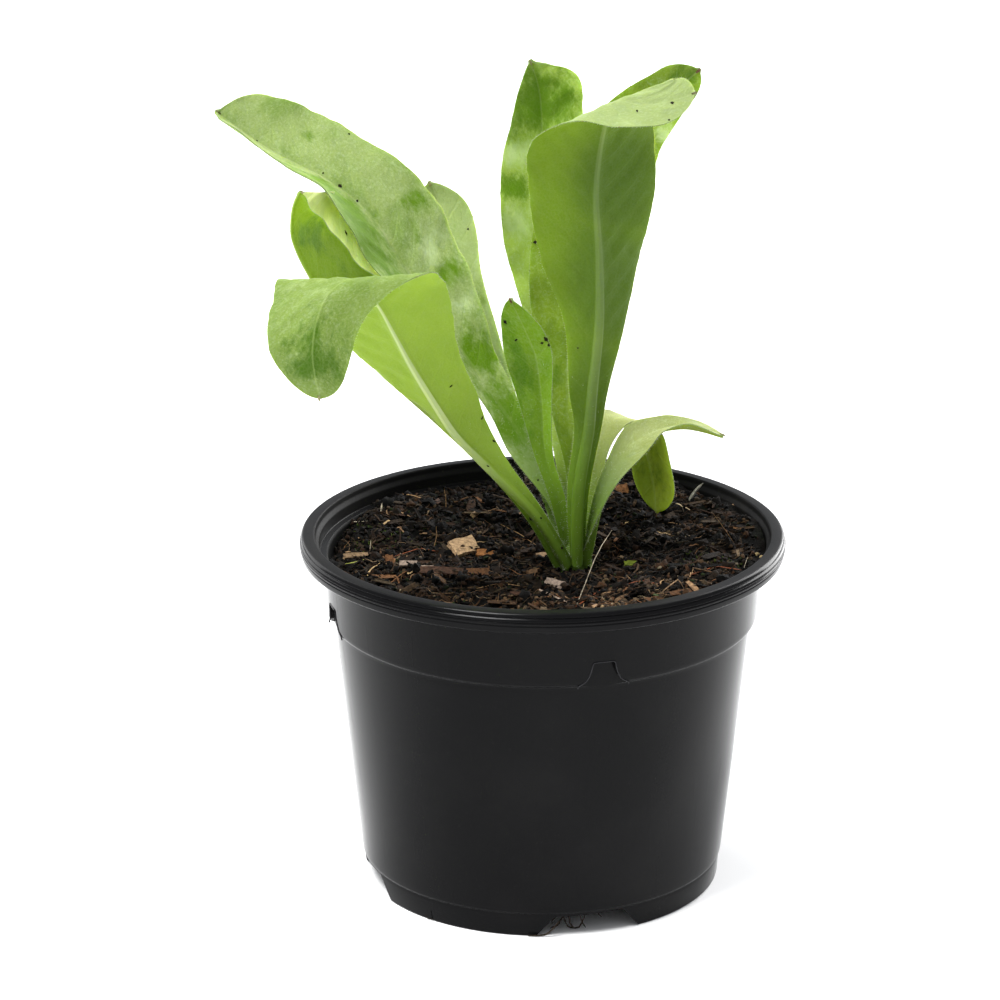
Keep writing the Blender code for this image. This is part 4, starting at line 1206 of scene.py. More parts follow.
# %% Stations of the four leaves in the middle and at the right
LEAVES.update({
    "leaf_centre": {
        "cut": 19.0, "wave": 0.5, "waves": 3.0, "seed": 5, "cup": 0.10,
        "tip": (0.9, 2.0, 2.0),
        "paint": [("deep", -4.6, 52.0, 4.0, 22.0, 0.7), ("pale", 3.4, 50.0, 1.2, 10.0, 0.25)],
        "stations": [
            ((7.4, -0.8, 80.0), (-1.4, 0.0, 0.0), (1.4, 0.0, 0.0)),
            ((3.6, -3.4, 99.5), (-1.9, -0.6, 0.0), (1.9, -0.6, 0.0)),
            ((0.5, -4.0, 111.0), (-2.6, -1.0, 0.0), (1.9, -0.8, 0.0)),
            ((-0.4, -5.0, 125.0), (-5.4, -2.0, 0.0), (2.4, -1.4, 0.4)),
            ((-2.0, -6.0, 137.2), (-7.4, -2.6, 0.6), (4.0, -1.6, 0.6)),
            ((-4.8, -6.0, 144.2), (-5.4, -2.0, 1.0), (4.8, -1.6, -0.4)),
            ((-8.0, -6.0, 151.2), (-2.8, -1.0, 0.6), (3.4, -1.0, -0.6)),
        ],
    },
    "leaf_back": {
        "cut": 20.0, "wave": 0.9, "waves": 5.0, "seed": 6, "cup": 0.10,
        "tip": (0.92, 2.0, 4.5),
        "paint": [
            ("deep", -1.0, 117.0, 13.0, 10.5, 1.0), ("deep", -7.0, 94.5, 6.5, 3.6, 0.95),
            ("pale", -7.2, 102.8, 5.6, 3.8, 0.8), ("pale", -7.0, 86.0, 5.6, 5.4, 0.75),
            ("pale", -7.0, 74.0, 2.5, 4.0, 0.4),
        ],
        "stations": [
            ((8.4, 3.0, 80.0), (-1.5, 0.0, 0.0), (1.5, 0.0, 0.0)),
            ((6.4, 12.2, 99.5), (-2.5, 0.0, 0.0), (2.5, 0.0, 0.0)),
            ((3.5, 18.0, 118.0), (-3.2, -1.0, 0.0), (3.2, -1.0, 0.0)),
            ((1.1, 23.0, 136.6), (-5.0, -2.4, 0.8), (5.0, -2.4, 0.8)),
            ((-0.4, 27.0, 156.0), (-9.1, -5.0, 1.8), (9.5, -4.0, 1.8)),
            ((-0.4, 30.0, 173.0), (-9.8, -5.0, 1.8), (10.0, -4.0, 1.8)),
            ((-0.2, 31.0, 185.6), (-7.6, -4.0, 1.4), (9.9, -3.0, 1.8)),
            ((-1.0, 30.0, 194.4), (-5.2, -3.0, 0.0), (10.6, -3.0, 1.2)),
            ((-3.0, 28.0, 201.8), (-2.4, -2.0, -0.6), (11.0, -2.0, -0.6)),
        ],
    },
    "leaf_front_right": {
        "cut": 20.0, "wave": 0.8, "waves": 4.0, "seed": 7, "cup": 0.08,
        "tip": (0.94, 2.3, 2.3),
        # The shade patches are painted shadow: the fold at the top shades the right of the
        # underside, and the stalk is darker below it.
        "paint": [
            ("shade", -5.4, 106.0, 12.0, 17.0, 1.0), ("shade", -3.0, 80.0, 12.5, 22.0, 0.95),
            ("shade", 0.0, 42.0, 8.0, 30.0, 0.9),
        ],
        "stations": [
            ((8.4, -2.4, 80.0), (1.4, 0.0, 0.0), (-1.4, 0.0, 0.0)),
            ((8.6, -7.4, 102.6), (2.6, 1.0, 0.0), (-2.6, 1.0, 0.0)),
            ((11.0, -11.0, 119.6), (3.0, 1.2, 0.0), (-3.4, 1.2, 0.0)),
            ((11.7, -14.0, 130.0), (3.8, 2.0, 0.0), (-5.4, 2.0, 0.0)),
            ((13.2, -18.0, 148.8), (6.2, 4.0, -1.0), (-8.2, 4.0, -1.0)),
            ((13.0, -22.0, 167.0), (9.9, 6.0, -1.0), (-13.8, 6.0, -1.6)),
            ((12.1, -27.0, 185.4), (14.1, 6.0, -1.0), (-15.8, 6.0, -1.0)),
            ((13.6, -31.0, 201.2), (12.1, 5.0, 1.4), (-16.4, 2.0, -3.6)),
            ((15.8, -35.0, 208.8), (12.5, 5.4, 2.8), (-8.8, -5.0, -2.6)),
            ((22.3, -37.0, 208.4), (7.6, 6.2, 4.9), (-6.0, -6.8, -3.6)),
            ((28.9, -36.0, 209.0), (2.6, 6.0, 4.2), (-3.0, -6.6, -4.8)),
            ((34.8, -33.5, 210.2), (0.2, 4.6, 3.2), (-0.8, -5.6, -5.0)),
        ],
    },
    "leaf_back_right": {
        "cut": 20.0, "wave": 1.0, "waves": 4.5, "seed": 8, "cup": 0.06,
        "tip": (0.94, 2.3, 2.6),
        "paint": [
            ("deep", -1.0, 131.0, 6.0, 5.5, 0.8), ("pale", 5.7, 116.5, 3.0, 5.0, 0.75),
            ("deep", 4.0, 128.0, 6.0, 7.0, 0.8),
            ("pale", -9.5, 75.0, 3.0, 8.0, 0.2), ("deep", -3.0, 45.0, 6.0, 16.0, 0.5),
        ],
        "stations": [
            ((8.4, 1.6, 80.0), (-1.4, 0.0, 0.0), (1.4, 0.0, 0.0)),
            ((8.4, 6.2, 101.5), (-2.4, 0.0, 0.0), (2.4, 0.0, 0.0)),
            ((6.2, 8.6, 121.0), (-4.7, -1.0, 0.0), (4.5, -1.0, 0.0)),
            ((7.1, 11.0, 140.9), (-9.7, -2.0, 0.5), (9.0, -3.0, 0.5)),
            ((9.8, 13.0, 160.6), (-12.6, -3.0, 1.0), (12.0, -4.0, 1.0)),
            ((14.6, 14.0, 178.4), (-12.4, -3.0, 5.0), (11.6, -4.0, -2.0)),
            ((23.4, 13.0, 190.0), (-6.8, -3.0, 6.8), (5.6, -3.0, -4.1)),
            ((31.1, 11.0, 198.2), (-4.1, -2.0, 6.3), (3.2, -2.0, -3.5)),
            ((37.4, 9.0, 204.6), (-3.2, -1.0, 3.8), (2.4, -1.0, -3.0)),
        ],
    },
})
print(len(LEAVES), "leaves so far")

# %% [markdown]
# ## The leaves: the two low ones
# Two small leaves grow low on the right. One reaches outwards, and the other bends over and hangs
# down to the soil. Their blades are about a centimetre wide.

# %% Stations of the two low leaves
LEAVES.update({
    "leaf_low_front": {
        "cut": 17.0, "wave": 0.3, "waves": 3.0, "seed": 9, "cup": 0.06,
        "calm": 0.6,
        # The shade patch is painted shade on the stalk.
        "paint": [("pale", 0.0, 56.0, 4.0, 6.0, 0.4), ("shade", 0.0, 16.0, 6.0, 17.0, 0.8)],
        "stations": [
            ((8.3, -1.4, 80.0), (0.8, 1.2, 0.0), (-0.8, -1.2, 0.0)),
            ((13.0, -6.6, 98.6), (-1.0, 1.8, 0.6), (1.2, -1.8, -0.4)),
            ((16.4, -9.6, 108.0), (-1.2, 2.4, 1.8), (2.4, -2.6, -0.4)),
            ((21.0, -12.0, 116.0), (-1.0, 4.0, 3.4), (4.2, -4.0, 0.0)),
            ((27.0, -14.0, 120.8), (0.6, 6.0, 1.6), (1.6, -4.6, 0.9)),
            ((33.6, -15.0, 122.4), (0.0, 5.4, 0.5), (0.5, -4.4, 1.8)),
            ((39.4, -16.0, 121.8), (0.0, 3.6, 0.0), (0.3, -3.2, 0.7)),
            ((43.4, -17.0, 120.6), (0.0, 2.4, 0.0), (0.0, -2.6, 0.0)),
        ],
    },
    "leaf_low_back": {
        "cut": 17.0, "wave": 0.3, "waves": 3.0, "seed": 10, "cup": 0.06,
        "tip": (0.86, 2.6, 2.6),
        "calm": 0.6,
        "paint": [("deep", 0.0, 62.0, 6.0, 12.0, 0.5)],
        "stations": [
            ((8.3, 0.6, 80.0), (-0.6, 1.2, 0.0), (0.6, -1.2, 0.0)),
            ((12.6, 3.0, 99.0), (-1.0, 1.8, 0.4), (1.0, -1.8, 0.0)),
            ((13.8, 5.0, 110.8), (-1.8, 2.0, 1.2), (2.6, -2.2, -0.4)),
            ((17.0, 9.0, 115.8), (-3.0, 3.4, 0.8), (3.6, -3.2, -0.4)),
            ((21.6, 14.0, 114.7), (-3.8, 4.4, -0.2), (3.8, -3.8, 0.0)),
            ((25.3, 18.0, 110.0), (-5.0, 4.2, 0.0), (4.8, -3.8, 0.0)),
            ((27.3, 20.0, 101.4), (-5.4, 4.2, 0.0), (4.6, -3.8, 0.0)),
            ((28.7, 20.0, 93.6), (-5.6, 4.2, 0.0), (4.6, -3.6, 0.0)),
            ((29.0, 19.0, 88.2), (-4.8, 3.5, 0.0), (4.2, -3.2, 0.0)),
        ],
    },
})
print(len(LEAVES), "leaves")

# %% [markdown]
# ## The leaves: from stations to a surface
# A smooth curve (Catmull-Rom) runs through the stations, so a point can be asked for at any
# length along the midrib. Towards the foot every leaf leans forward to the crown, which stands
# a little in front of the pot's axis.

# %% Curves through the stations
LEAN_FOOT = 80.0
LEAN_TOP = 135.0
CROWN_RISE = 2.3


def through(values, knots, at):
    """A smooth curve through vectors at the given knots."""
    last = len(knots) - 1
    step = 0
    while step < last - 1 and at > knots[step + 1]:
        step += 1
    low, high = knots[step], knots[step + 1]
    share = (at - low) / (high - low)
    before = values[max(step - 1, 0)]
    after = values[min(step + 2, last)]
    slope_in = (values[step + 1] - before) * ((high - low) / (high - knots[max(step - 1, 0)]))
    slope_out = (after - values[step]) * ((high - low) / (knots[min(step + 2, last)] - low))
    square = share * share
    cube = square * share
    return (values[step] * (2 * cube - 3 * square + 1) + slope_in * (cube - 2 * square + share)
            + values[step + 1] * (3 * square - 2 * cube) + slope_out * (cube - square))


def leaned(point):
    """A midrib point, brought forward with the crown in its lower stretch."""
    share = min(1.0, max(0.0, (LEAN_TOP - point[2]) / (LEAN_TOP - LEAN_FOOT)))
    ease = share * share * (3 - 2 * share)
    return Vector((point[0], point[1] + CROWN[1] * ease, point[2] + CROWN_RISE * ease))


print("a leaf's foot leans by", CROWN[1], "mm")

# %% [markdown]
# ## The leaves: one cross-section
# A leaf knows its own curves and can give its cross-section at any length: the point on the
# midrib, the steps to both margins and the direction that is up. Near the tip the margins close
# like a quarter of an ellipse.

# %% Cross-sections of a leaf
TIP_START = 0.9


class Leaf:
    """The curves of one leaf."""

    def __init__(self, leaf):
        self.middles = [leaned(station[0]) for station in leaf["stations"]]
        self.lefts = [Vector(station[1]) for station in leaf["stations"]]
        self.rights = [Vector(station[2]) for station in leaf["stations"]]
        self.knots = [0.0]
        for before, after in zip(self.middles, self.middles[1:]):
            self.knots.append(self.knots[-1] + (after - before).length)
        self.length = self.knots[-1]
        self.cut = leaf["cut"]
        self.leaf = leaf
        self.tip = leaf.get("tip", (TIP_START, 2.0, 2.0))
        draw = random.Random(leaf["seed"])
        self.phases = [draw.uniform(0, 2 * math.pi) for side in range(4)]

    def section(self, stop):
        """Middle, left step, right step and upper direction at a length."""
        middle = through(self.middles, self.knots, stop)
        left = through(self.lefts, self.knots, stop)
        right = through(self.rights, self.knots, stop)
        share = stop / self.length
        tip_start, blunt_left, blunt_right = self.tip
        if share > tip_start:
            inside = min(1.0, (share - tip_start) / (1 - tip_start))
            left = left * max(math.sqrt(1 - inside ** blunt_left), 0.05)
            right = right * max(math.sqrt(1 - inside ** blunt_right), 0.05)
        ahead = through(self.middles, self.knots, min(stop + 0.5, self.length))
        behind = through(self.middles, self.knots, max(stop - 0.5, 0.0))
        along = (ahead - behind).normalized()
        return middle, left, right, (right - left).cross(along).normalized(), share


curves = {name: Leaf(leaf) for name, leaf in LEAVES.items()}
print("leaf lengths in mm:", [round(curve.length) for curve in curves.values()])

# %% [markdown]
# ## The leaves: relief of the blade
# A marigold leaf is not flat. Its margin waves gently, the blade swells a little between the
# side veins, and the midrib lies in a shallow channel above and stands out as a rib below. The
# waves are those of the CAD leaf, and the swelling and the fine creases are added on top of
# them, by about a third of a millimetre each.

# %% Surface of one leaf
VEIN_SPACING = 7.5


def vein_place(across, along):
    """Distance along the midrib at which the side vein through a point starts."""
    side = abs(across)
    return along - 0.85 * side - 0.03 * side * side + (VEIN_SPACING / 2 if across > 0 else 0)


def blade_point(curve, column, section, stop):
    """A point of the upper surface, and how far across it is. column runs from -1 to 1."""
    middle, left, right, upper, share = section
    reach = abs(column)
    side = right if column > 0 else left
    wide = side.length
    swell = curve.leaf["cup"] * wide * (reach - reach * reach)
    spread = min(1.0, max(0.0, (wide - 2.5) / 6.0))
    phase = curve.phases[0] if column > 0 else curve.phases[1]
    phase_two = curve.phases[2] if column > 0 else curve.phases[3]
    turns = 2 * math.pi * curve.leaf["waves"] * share
    wave = math.sin(turns + phase) + 0.5 * math.sin(2.3 * turns + phase_two)
    lift = curve.leaf["wave"] * reach * reach * spread * wave
    across = column * wide
    vein = vein_place(across, stop) / VEIN_SPACING
    quilt = 0.5 - 0.5 * math.cos(2 * math.pi * vein)
    ease = min(1.0, max(0.0, (abs(across) - 1.0) / 2.0)) * spread * (1 - reach ** 4)
    seed = curve.leaf["seed"] * 9.7
    crease = noise.noise((across * 0.30 + seed, stop * 0.22, 0.3)) * 0.30
    crease += noise.noise((across * 0.8, stop * 0.65 + seed, 4.3)) * 0.12
    channel = math.exp(-(across / 1.1) ** 2) * min(0.28, 0.10 * wide)
    relief = (0.30 * quilt + crease) * ease * curve.leaf.get("calm", 1.0) - channel
    nibble = 1 + 0.02 * noise.noise((stop * 0.35 + seed, column * 2, 8.1)) * spread * reach
    return middle + side * (reach * nibble) + upper * (lift - swell + relief), across


print("side veins every", VEIN_SPACING, "mm")

# %% [markdown]
# ## The leaves: how thick they are
# The blade is about half a millimetre thick and half of that at the margin. The midrib is three
# millimetres thick in the stalk and gets thinner and narrower towards the tip. Solidify wants
# this as a share of the greatest thickness.

# %% Thickness of a leaf
STALK_THICKNESS = 3.0
RIB_TIP_THICKNESS = 0.9
RIB_WIDTH = 1.5
BLADE_THICKNESS = 0.55
EDGE_THICKNESS = 0.24


def rib_share(curve, across, half, share):
    """Thickness at a point as a share of the thickest part of the leaf."""
    fade = max(0.0, 1 - share / 0.96)
    size = curve.leaf.get("rib", 1.0)
    rib = RIB_TIP_THICKNESS + (STALK_THICKNESS - RIB_TIP_THICKNESS) * fade ** 2.4 * size
    half_rib = RIB_WIDTH * (0.45 + 0.55 * fade ** 1.5) * (0.4 + 0.6 * size)
    bump = max(0.0, 1 - (across / half_rib) ** 2) ** 1.4
    edge = min(1.0, max(0.0, (half - abs(across)) / 1.2))
    blade = EDGE_THICKNESS + (BLADE_THICKNESS - EDGE_THICKNESS) * edge
    return min(1.0, (blade + max(0.0, rib - blade) * bump) / STALK_THICKNESS)


print("thickness in mm:", EDGE_THICKNESS, "to", STALK_THICKNESS)

# %% [markdown]
# ## The leaves: rows and painted patches
# A leaf is built row by row. The rows stand less than a millimetre apart, and closer towards the
# round tip. A painted patch is strongest in its middle and fades out like a bell curve.

# %% Rows and painted patches
ROW_SPACING = 0.9
TIP_ROWS = 16


def leaf_stops(curve, first, last):
    """Lengths along the midrib, evenly spaced and closer near the round tip."""
    bend = curve.tip[0] * curve.length
    straight = min(last, bend)
    rows = max(4, int((straight - first) / ROW_SPACING))
    stops = [first + (straight - first) * row / rows for row in range(rows + 1)]
    if last > bend:
        for row in range(1, TIP_ROWS + 1):
            stops.append(bend + (curve.length - bend) * math.sin(math.pi / 2 * row / TIP_ROWS))
    return stops


def painted(curve, across, along):
    """Strengths of deep green, pale bloom and painted shade at a place on the leaf; the deep and
    pale patches are partly painted shade and painted sheen.
    """
    strengths = {"deep": 0.0, "pale": 0.0, "shade": 0.0}
    for kind, middle, place, wide, long, strength in curve.leaf["paint"]:
        away = ((across - middle) / wide) ** 2 + ((along - place) / long) ** 2
        fall = away * away if kind == "shade" else away
        strengths[kind] = max(strengths[kind], strength * math.exp(-fall))
    return tuple(strengths.values())


print("rows of leaf_centre:", len(leaf_stops(curves["leaf_centre"], 0, 200)))

# %% [markdown]
# ## The leaves: grid and thickness
# A grid primitive has its corners in rows and columns, just as the surface needs them. Each
# corner is moved to its place on the leaf, and keeps what the material has to know: how far it
# is across and along the leaf in millimetres, and how strong the painted patches are there.
# Solidify then gives the thickness, which a vertex group makes thin at the margin and thick at
# the rib, and puts the underside and the edge into material slots of their own.

# %% Build one stretch of a leaf
COLUMNS = 44


def leaf_stretch(curve, first, last):
    """A closed stretch of a leaf between two lengths along its midrib."""
    stops = leaf_stops(curve, first, last)
    start()
    bpy.ops.mesh.primitive_grid_add(x_subdivisions=COLUMNS, y_subdivisions=len(stops) - 1, size=2)
    item = bpy.context.object
    points, places, weights, paints = [], [], [], []
    for stop in stops:
        section = curve.section(stop)
        for number in range(COLUMNS + 1):
            even = 2 * number / COLUMNS - 1
            column = math.copysign(abs(even) ** 1.15, even)
            point, across = blade_point(curve, column, section, stop)
            wide = section[2].length if column > 0 else section[1].length
            points.append(placed(point))
            places.append((across, stop, section[4]))
            paints.append(painted(curve, across, stop))
            weights.append(rib_share(curve, across, wide, section[4]))
    item.data.vertices.foreach_set("co", np.array(points).ravel())
    for name, values in (("leaf_place", places), ("leaf_paint", paints)):
        made = item.data.attributes.new(name, "FLOAT_VECTOR", "POINT")
        made.data.foreach_set("vector", np.array(values, dtype=np.float32).ravel())
    group = item.vertex_groups.new(name="rib")
    for number, weight in enumerate(weights):
        group.add([number], weight, "REPLACE")
    item.data.update()
    for slot in range(3):
        item.data.materials.append(None)
    apply(item, "SOLIDIFY", thickness=STALK_THICKNESS * MM, offset=-1, vertex_group="rib",
          thickness_vertex_group=0.0, material_offset=1, material_offset_rim=2,
          use_even_offset=False)
    item.vertex_groups.clear()
    return item


test = leaf_stretch(curves["leaf_centre"], 19, curves["leaf_centre"].length)
print("leaf_centre would have", len(test.data.polygons), "faces")
bpy.data.objects.remove(test, do_unlink=True)

# %% [markdown]
# ## Leaf colour: veins, net and mottle
# A marigold leaf has a pale midrib, arched side veins and between them a fine net of veinlets.
# Its surface is mottled: a thin whitish bloom covers it in clouds, and in patches and freckles the
# leaf is a deeper, warmer green. The patches painted on each leaf are partly painted sheen and
# painted shade. The group reads the millimetres that the grid stored, so the veins follow each leaf
# however it bends, and it is set for each leaf with its own colours.

# %% Node group of the leaf
skin, given, result = new_group(
    "leaf_skin",
    {"Light": ("Color", (0.5, 0.6, 0.3, 1)), "Deep": ("Color", (0.2, 0.4, 0.1, 1)),
     "Vein": ("Color", (0.7, 0.8, 0.5, 1)), "Mottle": ("Float", 0.8), "Bloom": ("Float", 0.3),
     "Vein Show": ("Float", 0.5), "Relief": ("Float", 1.0), "Seed": ("Float", 0.0),
     "Pale Show": ("Float", 0.5), "Rib Show": ("Float", 0.5), "Rib Width": ("Float", 1.0),
     "Rib": ("Color", (0.6, 0.7, 0.4, 1)), "Shade": ("Color", (0.5, 0.5, 0.5, 1))},
    {"Colour": "Color", "Height": "Float", "Roughness": "Float"})
place = add(skin, "ShaderNodeAttribute", {"attribute_name": "leaf_place"}).outputs["Vector"]
parts = add(skin, "ShaderNodeSeparateXYZ", Vector=place).outputs
across, along, share = parts[0], parts[1], parts[2]
paint = add(skin, "ShaderNodeAttribute", {"attribute_name": "leaf_paint"}).outputs["Vector"]
paints = add(skin, "ShaderNodeSeparateXYZ", Vector=paint).outputs
side = calc(skin, "ABSOLUTE", across)
shifted = add(skin, "ShaderNodeCombineXYZ", X=across, Y=along, Z=given["Seed"]).outputs[0]
drift = noise_at(skin, shifted, 0.16, 3.0)
vein_at = calc(skin, "SUBTRACT", along, times(skin, side, 0.85))
vein_at = calc(skin, "SUBTRACT", vein_at, times(skin, times(skin, side, side), 0.03))
right_half = calc(skin, "GREATER_THAN", across, 0.0)
vein_at = plus(skin, vein_at, times(skin, right_half, VEIN_SPACING / 2))
vein_at = plus(skin, vein_at, times(skin, drift, 2.2))
from_vein = calc(skin, "PINGPONG", vein_at, VEIN_SPACING / 2)
side_vein = step_up(skin, from_vein, 0.08, 0.50, 1.0, 0.0)
side_vein = times(skin, side_vein, step_up(skin, side, 3.0, 13.0, 1.0, 0.35))
rib_width = times(skin, step_up(skin, share, 0.0, 1.0, 0.95, 0.36), given["Rib Width"])
midrib = step_up(skin, calc(skin, "DIVIDE", side, rib_width), 0.45, 1.0, 1.0, 0.0)
net_place = add(skin, "ShaderNodeCombineXYZ", X=times(skin, across, 0.42),
                Y=times(skin, vein_at, 0.30), Z=given["Seed"]).outputs[0]
net_edge = add(skin, "ShaderNodeTexVoronoi", {"feature": "DISTANCE_TO_EDGE"}, Vector=net_place,
               Scale=1.0).outputs["Distance"]
net = step_up(skin, net_edge, 0.015, 0.12, 1.0, 0.0)
fine_edge = add(skin, "ShaderNodeTexVoronoi", {"feature": "DISTANCE_TO_EDGE"}, Vector=shifted,
                Scale=1.15).outputs["Distance"]
fine_net = step_up(skin, fine_edge, 0.02, 0.20, 1.0, 0.0)
print("vein pattern ready")

# %% [markdown]
# ## Leaf colour: patches and bloom
# Broad noise gives soft deep-green patches and fine noise gives freckles. Bloom comes in clouds.
# The patches painted from the photograph are broken up by ragged noise, so that they fray like the
# real ones, and each painted patch pushes the other kind aside. The painted deep patches are partly
# painted shade, and the painted pale ones partly painted sheen.

# %% Patches and bloom of the leaf
patchy = noise_at(skin, shifted, 0.085, 4.0, Roughness=0.5, Distortion=0.3)
patch = times(skin, step_up(skin, patchy, 0.44, 0.70), times(skin, given["Mottle"], 0.55))
freckle = noise_at(skin, shifted, 0.75, 4.0, Roughness=0.7)
freckles = times(skin, step_up(skin, freckle, 0.50, 0.75), times(skin, given["Mottle"], 0.30))
patch = calc(skin, "MAXIMUM", patch, freckles)
blooming = noise_at(skin, shifted, 0.30, 5.0, Roughness=0.75, Distortion=1.0)
bloom = times(skin, step_up(skin, blooming, 0.50, 0.74), given["Bloom"])
stretched = add(skin, "ShaderNodeMapping", Vector=shifted, Rotation=(0, 0, 0.5),
                Scale=(0.30, 0.16, 1.0)).outputs[0]
ragged = noise_at(skin, stretched, 1.0, 7.0, Roughness=0.72)
ragged = times(skin, calc(skin, "SUBTRACT", ragged, 0.5), 2.3)
near_deep = times(skin, ragged, step_up(skin, paints[0], 0.0, 0.35))
painted_deep = step_up(skin, plus(skin, paints[0], near_deep), 0.14, 0.92)
near_pale = times(skin, ragged, step_up(skin, paints[1], 0.0, 0.35))
painted_pale = step_up(skin, calc(skin, "SUBTRACT", paints[1], near_pale), 0.14, 1.0)
patch = times(skin, patch, calc(skin, "SUBTRACT", 1.0, painted_pale))
patch = calc(skin, "MAXIMUM", patch, painted_deep)
bloom = times(skin, bloom, calc(skin, "SUBTRACT", 1.0, painted_deep))
# The painted pale patches join the bloom: partly the leaf's bloom and partly painted sheen.
bloom = calc(skin, "MAXIMUM", bloom, times(skin, painted_pale, given["Pale Show"]))
print("patches and bloom ready")

# %% [markdown]
# ## Leaf colour: laying the colours over one another
# The colours are laid in layers, from the broad to the fine: ground colour and patches, the fine
# net, felt flecks and the hollows between them, veins, bloom and painted sheen, midrib and painted
# shade. Last the stalk turns darker towards its foot, with its own darker green and, near the soil,
# painted shade.

# %% Colour of the leaf
FELT = tone(206, 216, 178)
# Colour of the bloom, also used for the painted sheen of the pale patches.
BLOOM_AND_SHEEN = tone(190, 204, 158)
# The first is the stalk's own darker green and partly painted shade; the second is painted shade
# where the stalks meet the soil.
STALK_GREEN_AND_SHADE = tone(90, 120, 34)
FOOT_SHADE_GREEN = tone(64, 86, 30)
colour = blend(skin, patch, given["Light"], given["Deep"])
colour = blend(skin, times(skin, fine_net, 0.05), colour, given["Vein"])
felt = noise_at(skin, shifted, 1.5, 6.0, Roughness=0.75, Distortion=0.6)
flecks = times(skin, step_up(skin, felt, 0.47, 0.70), times(skin, given["Bloom"], 0.8))
flecks = times(skin, flecks, step_up(skin, painted_deep, 0.0, 1.0, 1.0, 0.15))
flecks = times(skin, flecks, step_up(skin, along, 12.0, 40.0))
colour = blend(skin, flecks, colour, FELT)
hollows = times(skin, step_up(skin, felt, 0.50, 0.30), times(skin, given["Mottle"], 0.35))
colour = blend(skin, hollows, colour, given["Deep"])
veins = calc(skin, "MAXIMUM", times(skin, side_vein, 0.9), times(skin, net, 0.45))
colour = blend(skin, times(skin, veins, given["Vein Show"]), colour, given["Vein"])
colour = blend(skin, bloom, colour, BLOOM_AND_SHEEN)
rib_mask = times(skin, midrib, step_up(skin, along, 26.0, 58.0, 0.15, 1.0))
colour = blend(skin, times(skin, rib_mask, given["Rib Show"]), colour, given["Rib"])
# Painted shade: the shade patches multiply the colour by the shade tint.
colour = blend(skin, paints[2], colour, given["Shade"], "MULTIPLY")
# The stalk darkens towards its foot: its own darker green, and near the soil painted shade.
colour = blend(skin, step_up(skin, along, 8.0, 44.0, 0.9, 0.0), colour, STALK_GREEN_AND_SHADE)
colour = blend(skin, step_up(skin, along, 2.0, 13.0, 0.5, 0.0), colour, FOOT_SHADE_GREEN)
print("colour layers ready")

# %% [markdown]
# ## Leaf relief and roughness
# Veins and net give a height for the bump, sunk on the upper side and raised below. The blade
# has a fine grain too, and is duller where bloom covers it.

# %% Height and roughness of the leaf
height = plus(skin, times(skin, side_vein, 0.9), times(skin, net, 0.5))
height = plus(skin, height, times(skin, fine_net, 0.22))
beside_rib = step_up(skin, calc(skin, "DIVIDE", side, rib_width), 0.9, 2.2)
height = times(skin, height, beside_rib)
height = times(skin, plus(skin, height, times(skin, midrib, 0.5)), given["Relief"])
grain = noise_at(skin, shifted, 3.2, 3.0)
height = plus(skin, height, times(skin, grain, 0.35))
rough = plus(skin, 0.50, times(skin, bloom, 0.30))
rough = calc(skin, "SUBTRACT", rough, times(skin, patch, 0.04))
join_up(skin, [(colour, result["Colour"]), (height, result["Height"]),
               (rough, result["Roughness"])])
print("leaf_skin has", len(skin.nodes), "nodes")

# %% [markdown]
# ## Leaf materials
# Each leaf gets three materials from the one group. The upper side has sunken veins and bloom,
# the underside has raised veins and a clear pale midrib, and the edge is a thin rim of one
# colour. Subsurface scattering of up to 0.9 mm lets light into the thin blade, which is what
# makes a leaf look alive.

# %% Material of one side of a leaf
# Tint that the painted shade patches multiply into the leaf's colour.
SHADE = (0.50, 0.56, 0.72, 1)
UPPER_SIDE = {"Vein": tone(168, 184, 112), "Vein_Show": 0.07, "Relief": -0.3,
              "Pale_Show": 0.6, "Rib_Show": 0.15}
UNDER_SIDE = {"Vein": tone(160, 180, 96), "Vein_Show": 0.04, "Relief": 0.2,
              "Pale_Show": 0.3, "Rib_Show": 0.5}
UPPER_RIB = (tone(176, 192, 126), 0.8)
# Colour and width of the midrib on the undersides that show it in their own way, and on the rest
UNDER_RIBS = {"leaf_front_left": (tone(206, 214, 172), 0.62),
              "leaf_front_right": (tone(146, 164, 88), 1.15)}
PLAIN_RIB = (tone(146, 164, 88), 0.8)


def leaf_side(name, light, deep, is_upper, mottle, bloom, seed, rib):
    look = UPPER_SIDE if is_upper else UNDER_SIDE
    finish, shader = group_finish(
        name, skin, 0.55, 0.00035, Light=tone(*light), Deep=tone(*deep), Mottle=mottle,
        Bloom=bloom, Seed=seed, Rib=rib[0], Rib_Width=rib[1], Shade=SHADE, **look)
    shader.inputs["Subsurface Weight"].default_value = 0.7
    shader.inputs["Subsurface Radius"].default_value = (0.9, 1.0, 0.2)
    shader.inputs["Subsurface Scale"].default_value = 0.0009
    shader.inputs["Specular IOR Level"].default_value = 0.09
    return finish


print("leaf material ready")

# %% [markdown]
# ## Leaf colours
# Every leaf has greens of its own: where one folds over it shows a yellower underside, the two low
# ones are dull, and the upper side of the one at the back left is the palest, partly as painted
# light that lifts the shadow which the far left leaf casts on it.

# %% Colours of the ten leaves


def leaf_finishes(name, upper, deep, under, under_deep, mottle, bloom, seed):
    """The three materials of a leaf: upper side, underside and edge."""
    edge, tree, shader = new_finish(name + "_edge")
    shader.inputs["Base Color"].default_value = tone(112, 130, 80)
    shader.inputs["Roughness"].default_value = 0.5
    shader.inputs["Specular IOR Level"].default_value = 0.1
    return [
        leaf_side(name + "_upper", upper, deep, True, mottle, bloom, seed, UPPER_RIB),
        leaf_side(name + "_under", under, under_deep, False, mottle * 0.6, bloom * 0.2,
                  seed + 40, UNDER_RIBS.get(name, PLAIN_RIB)),
        edge,
    ]


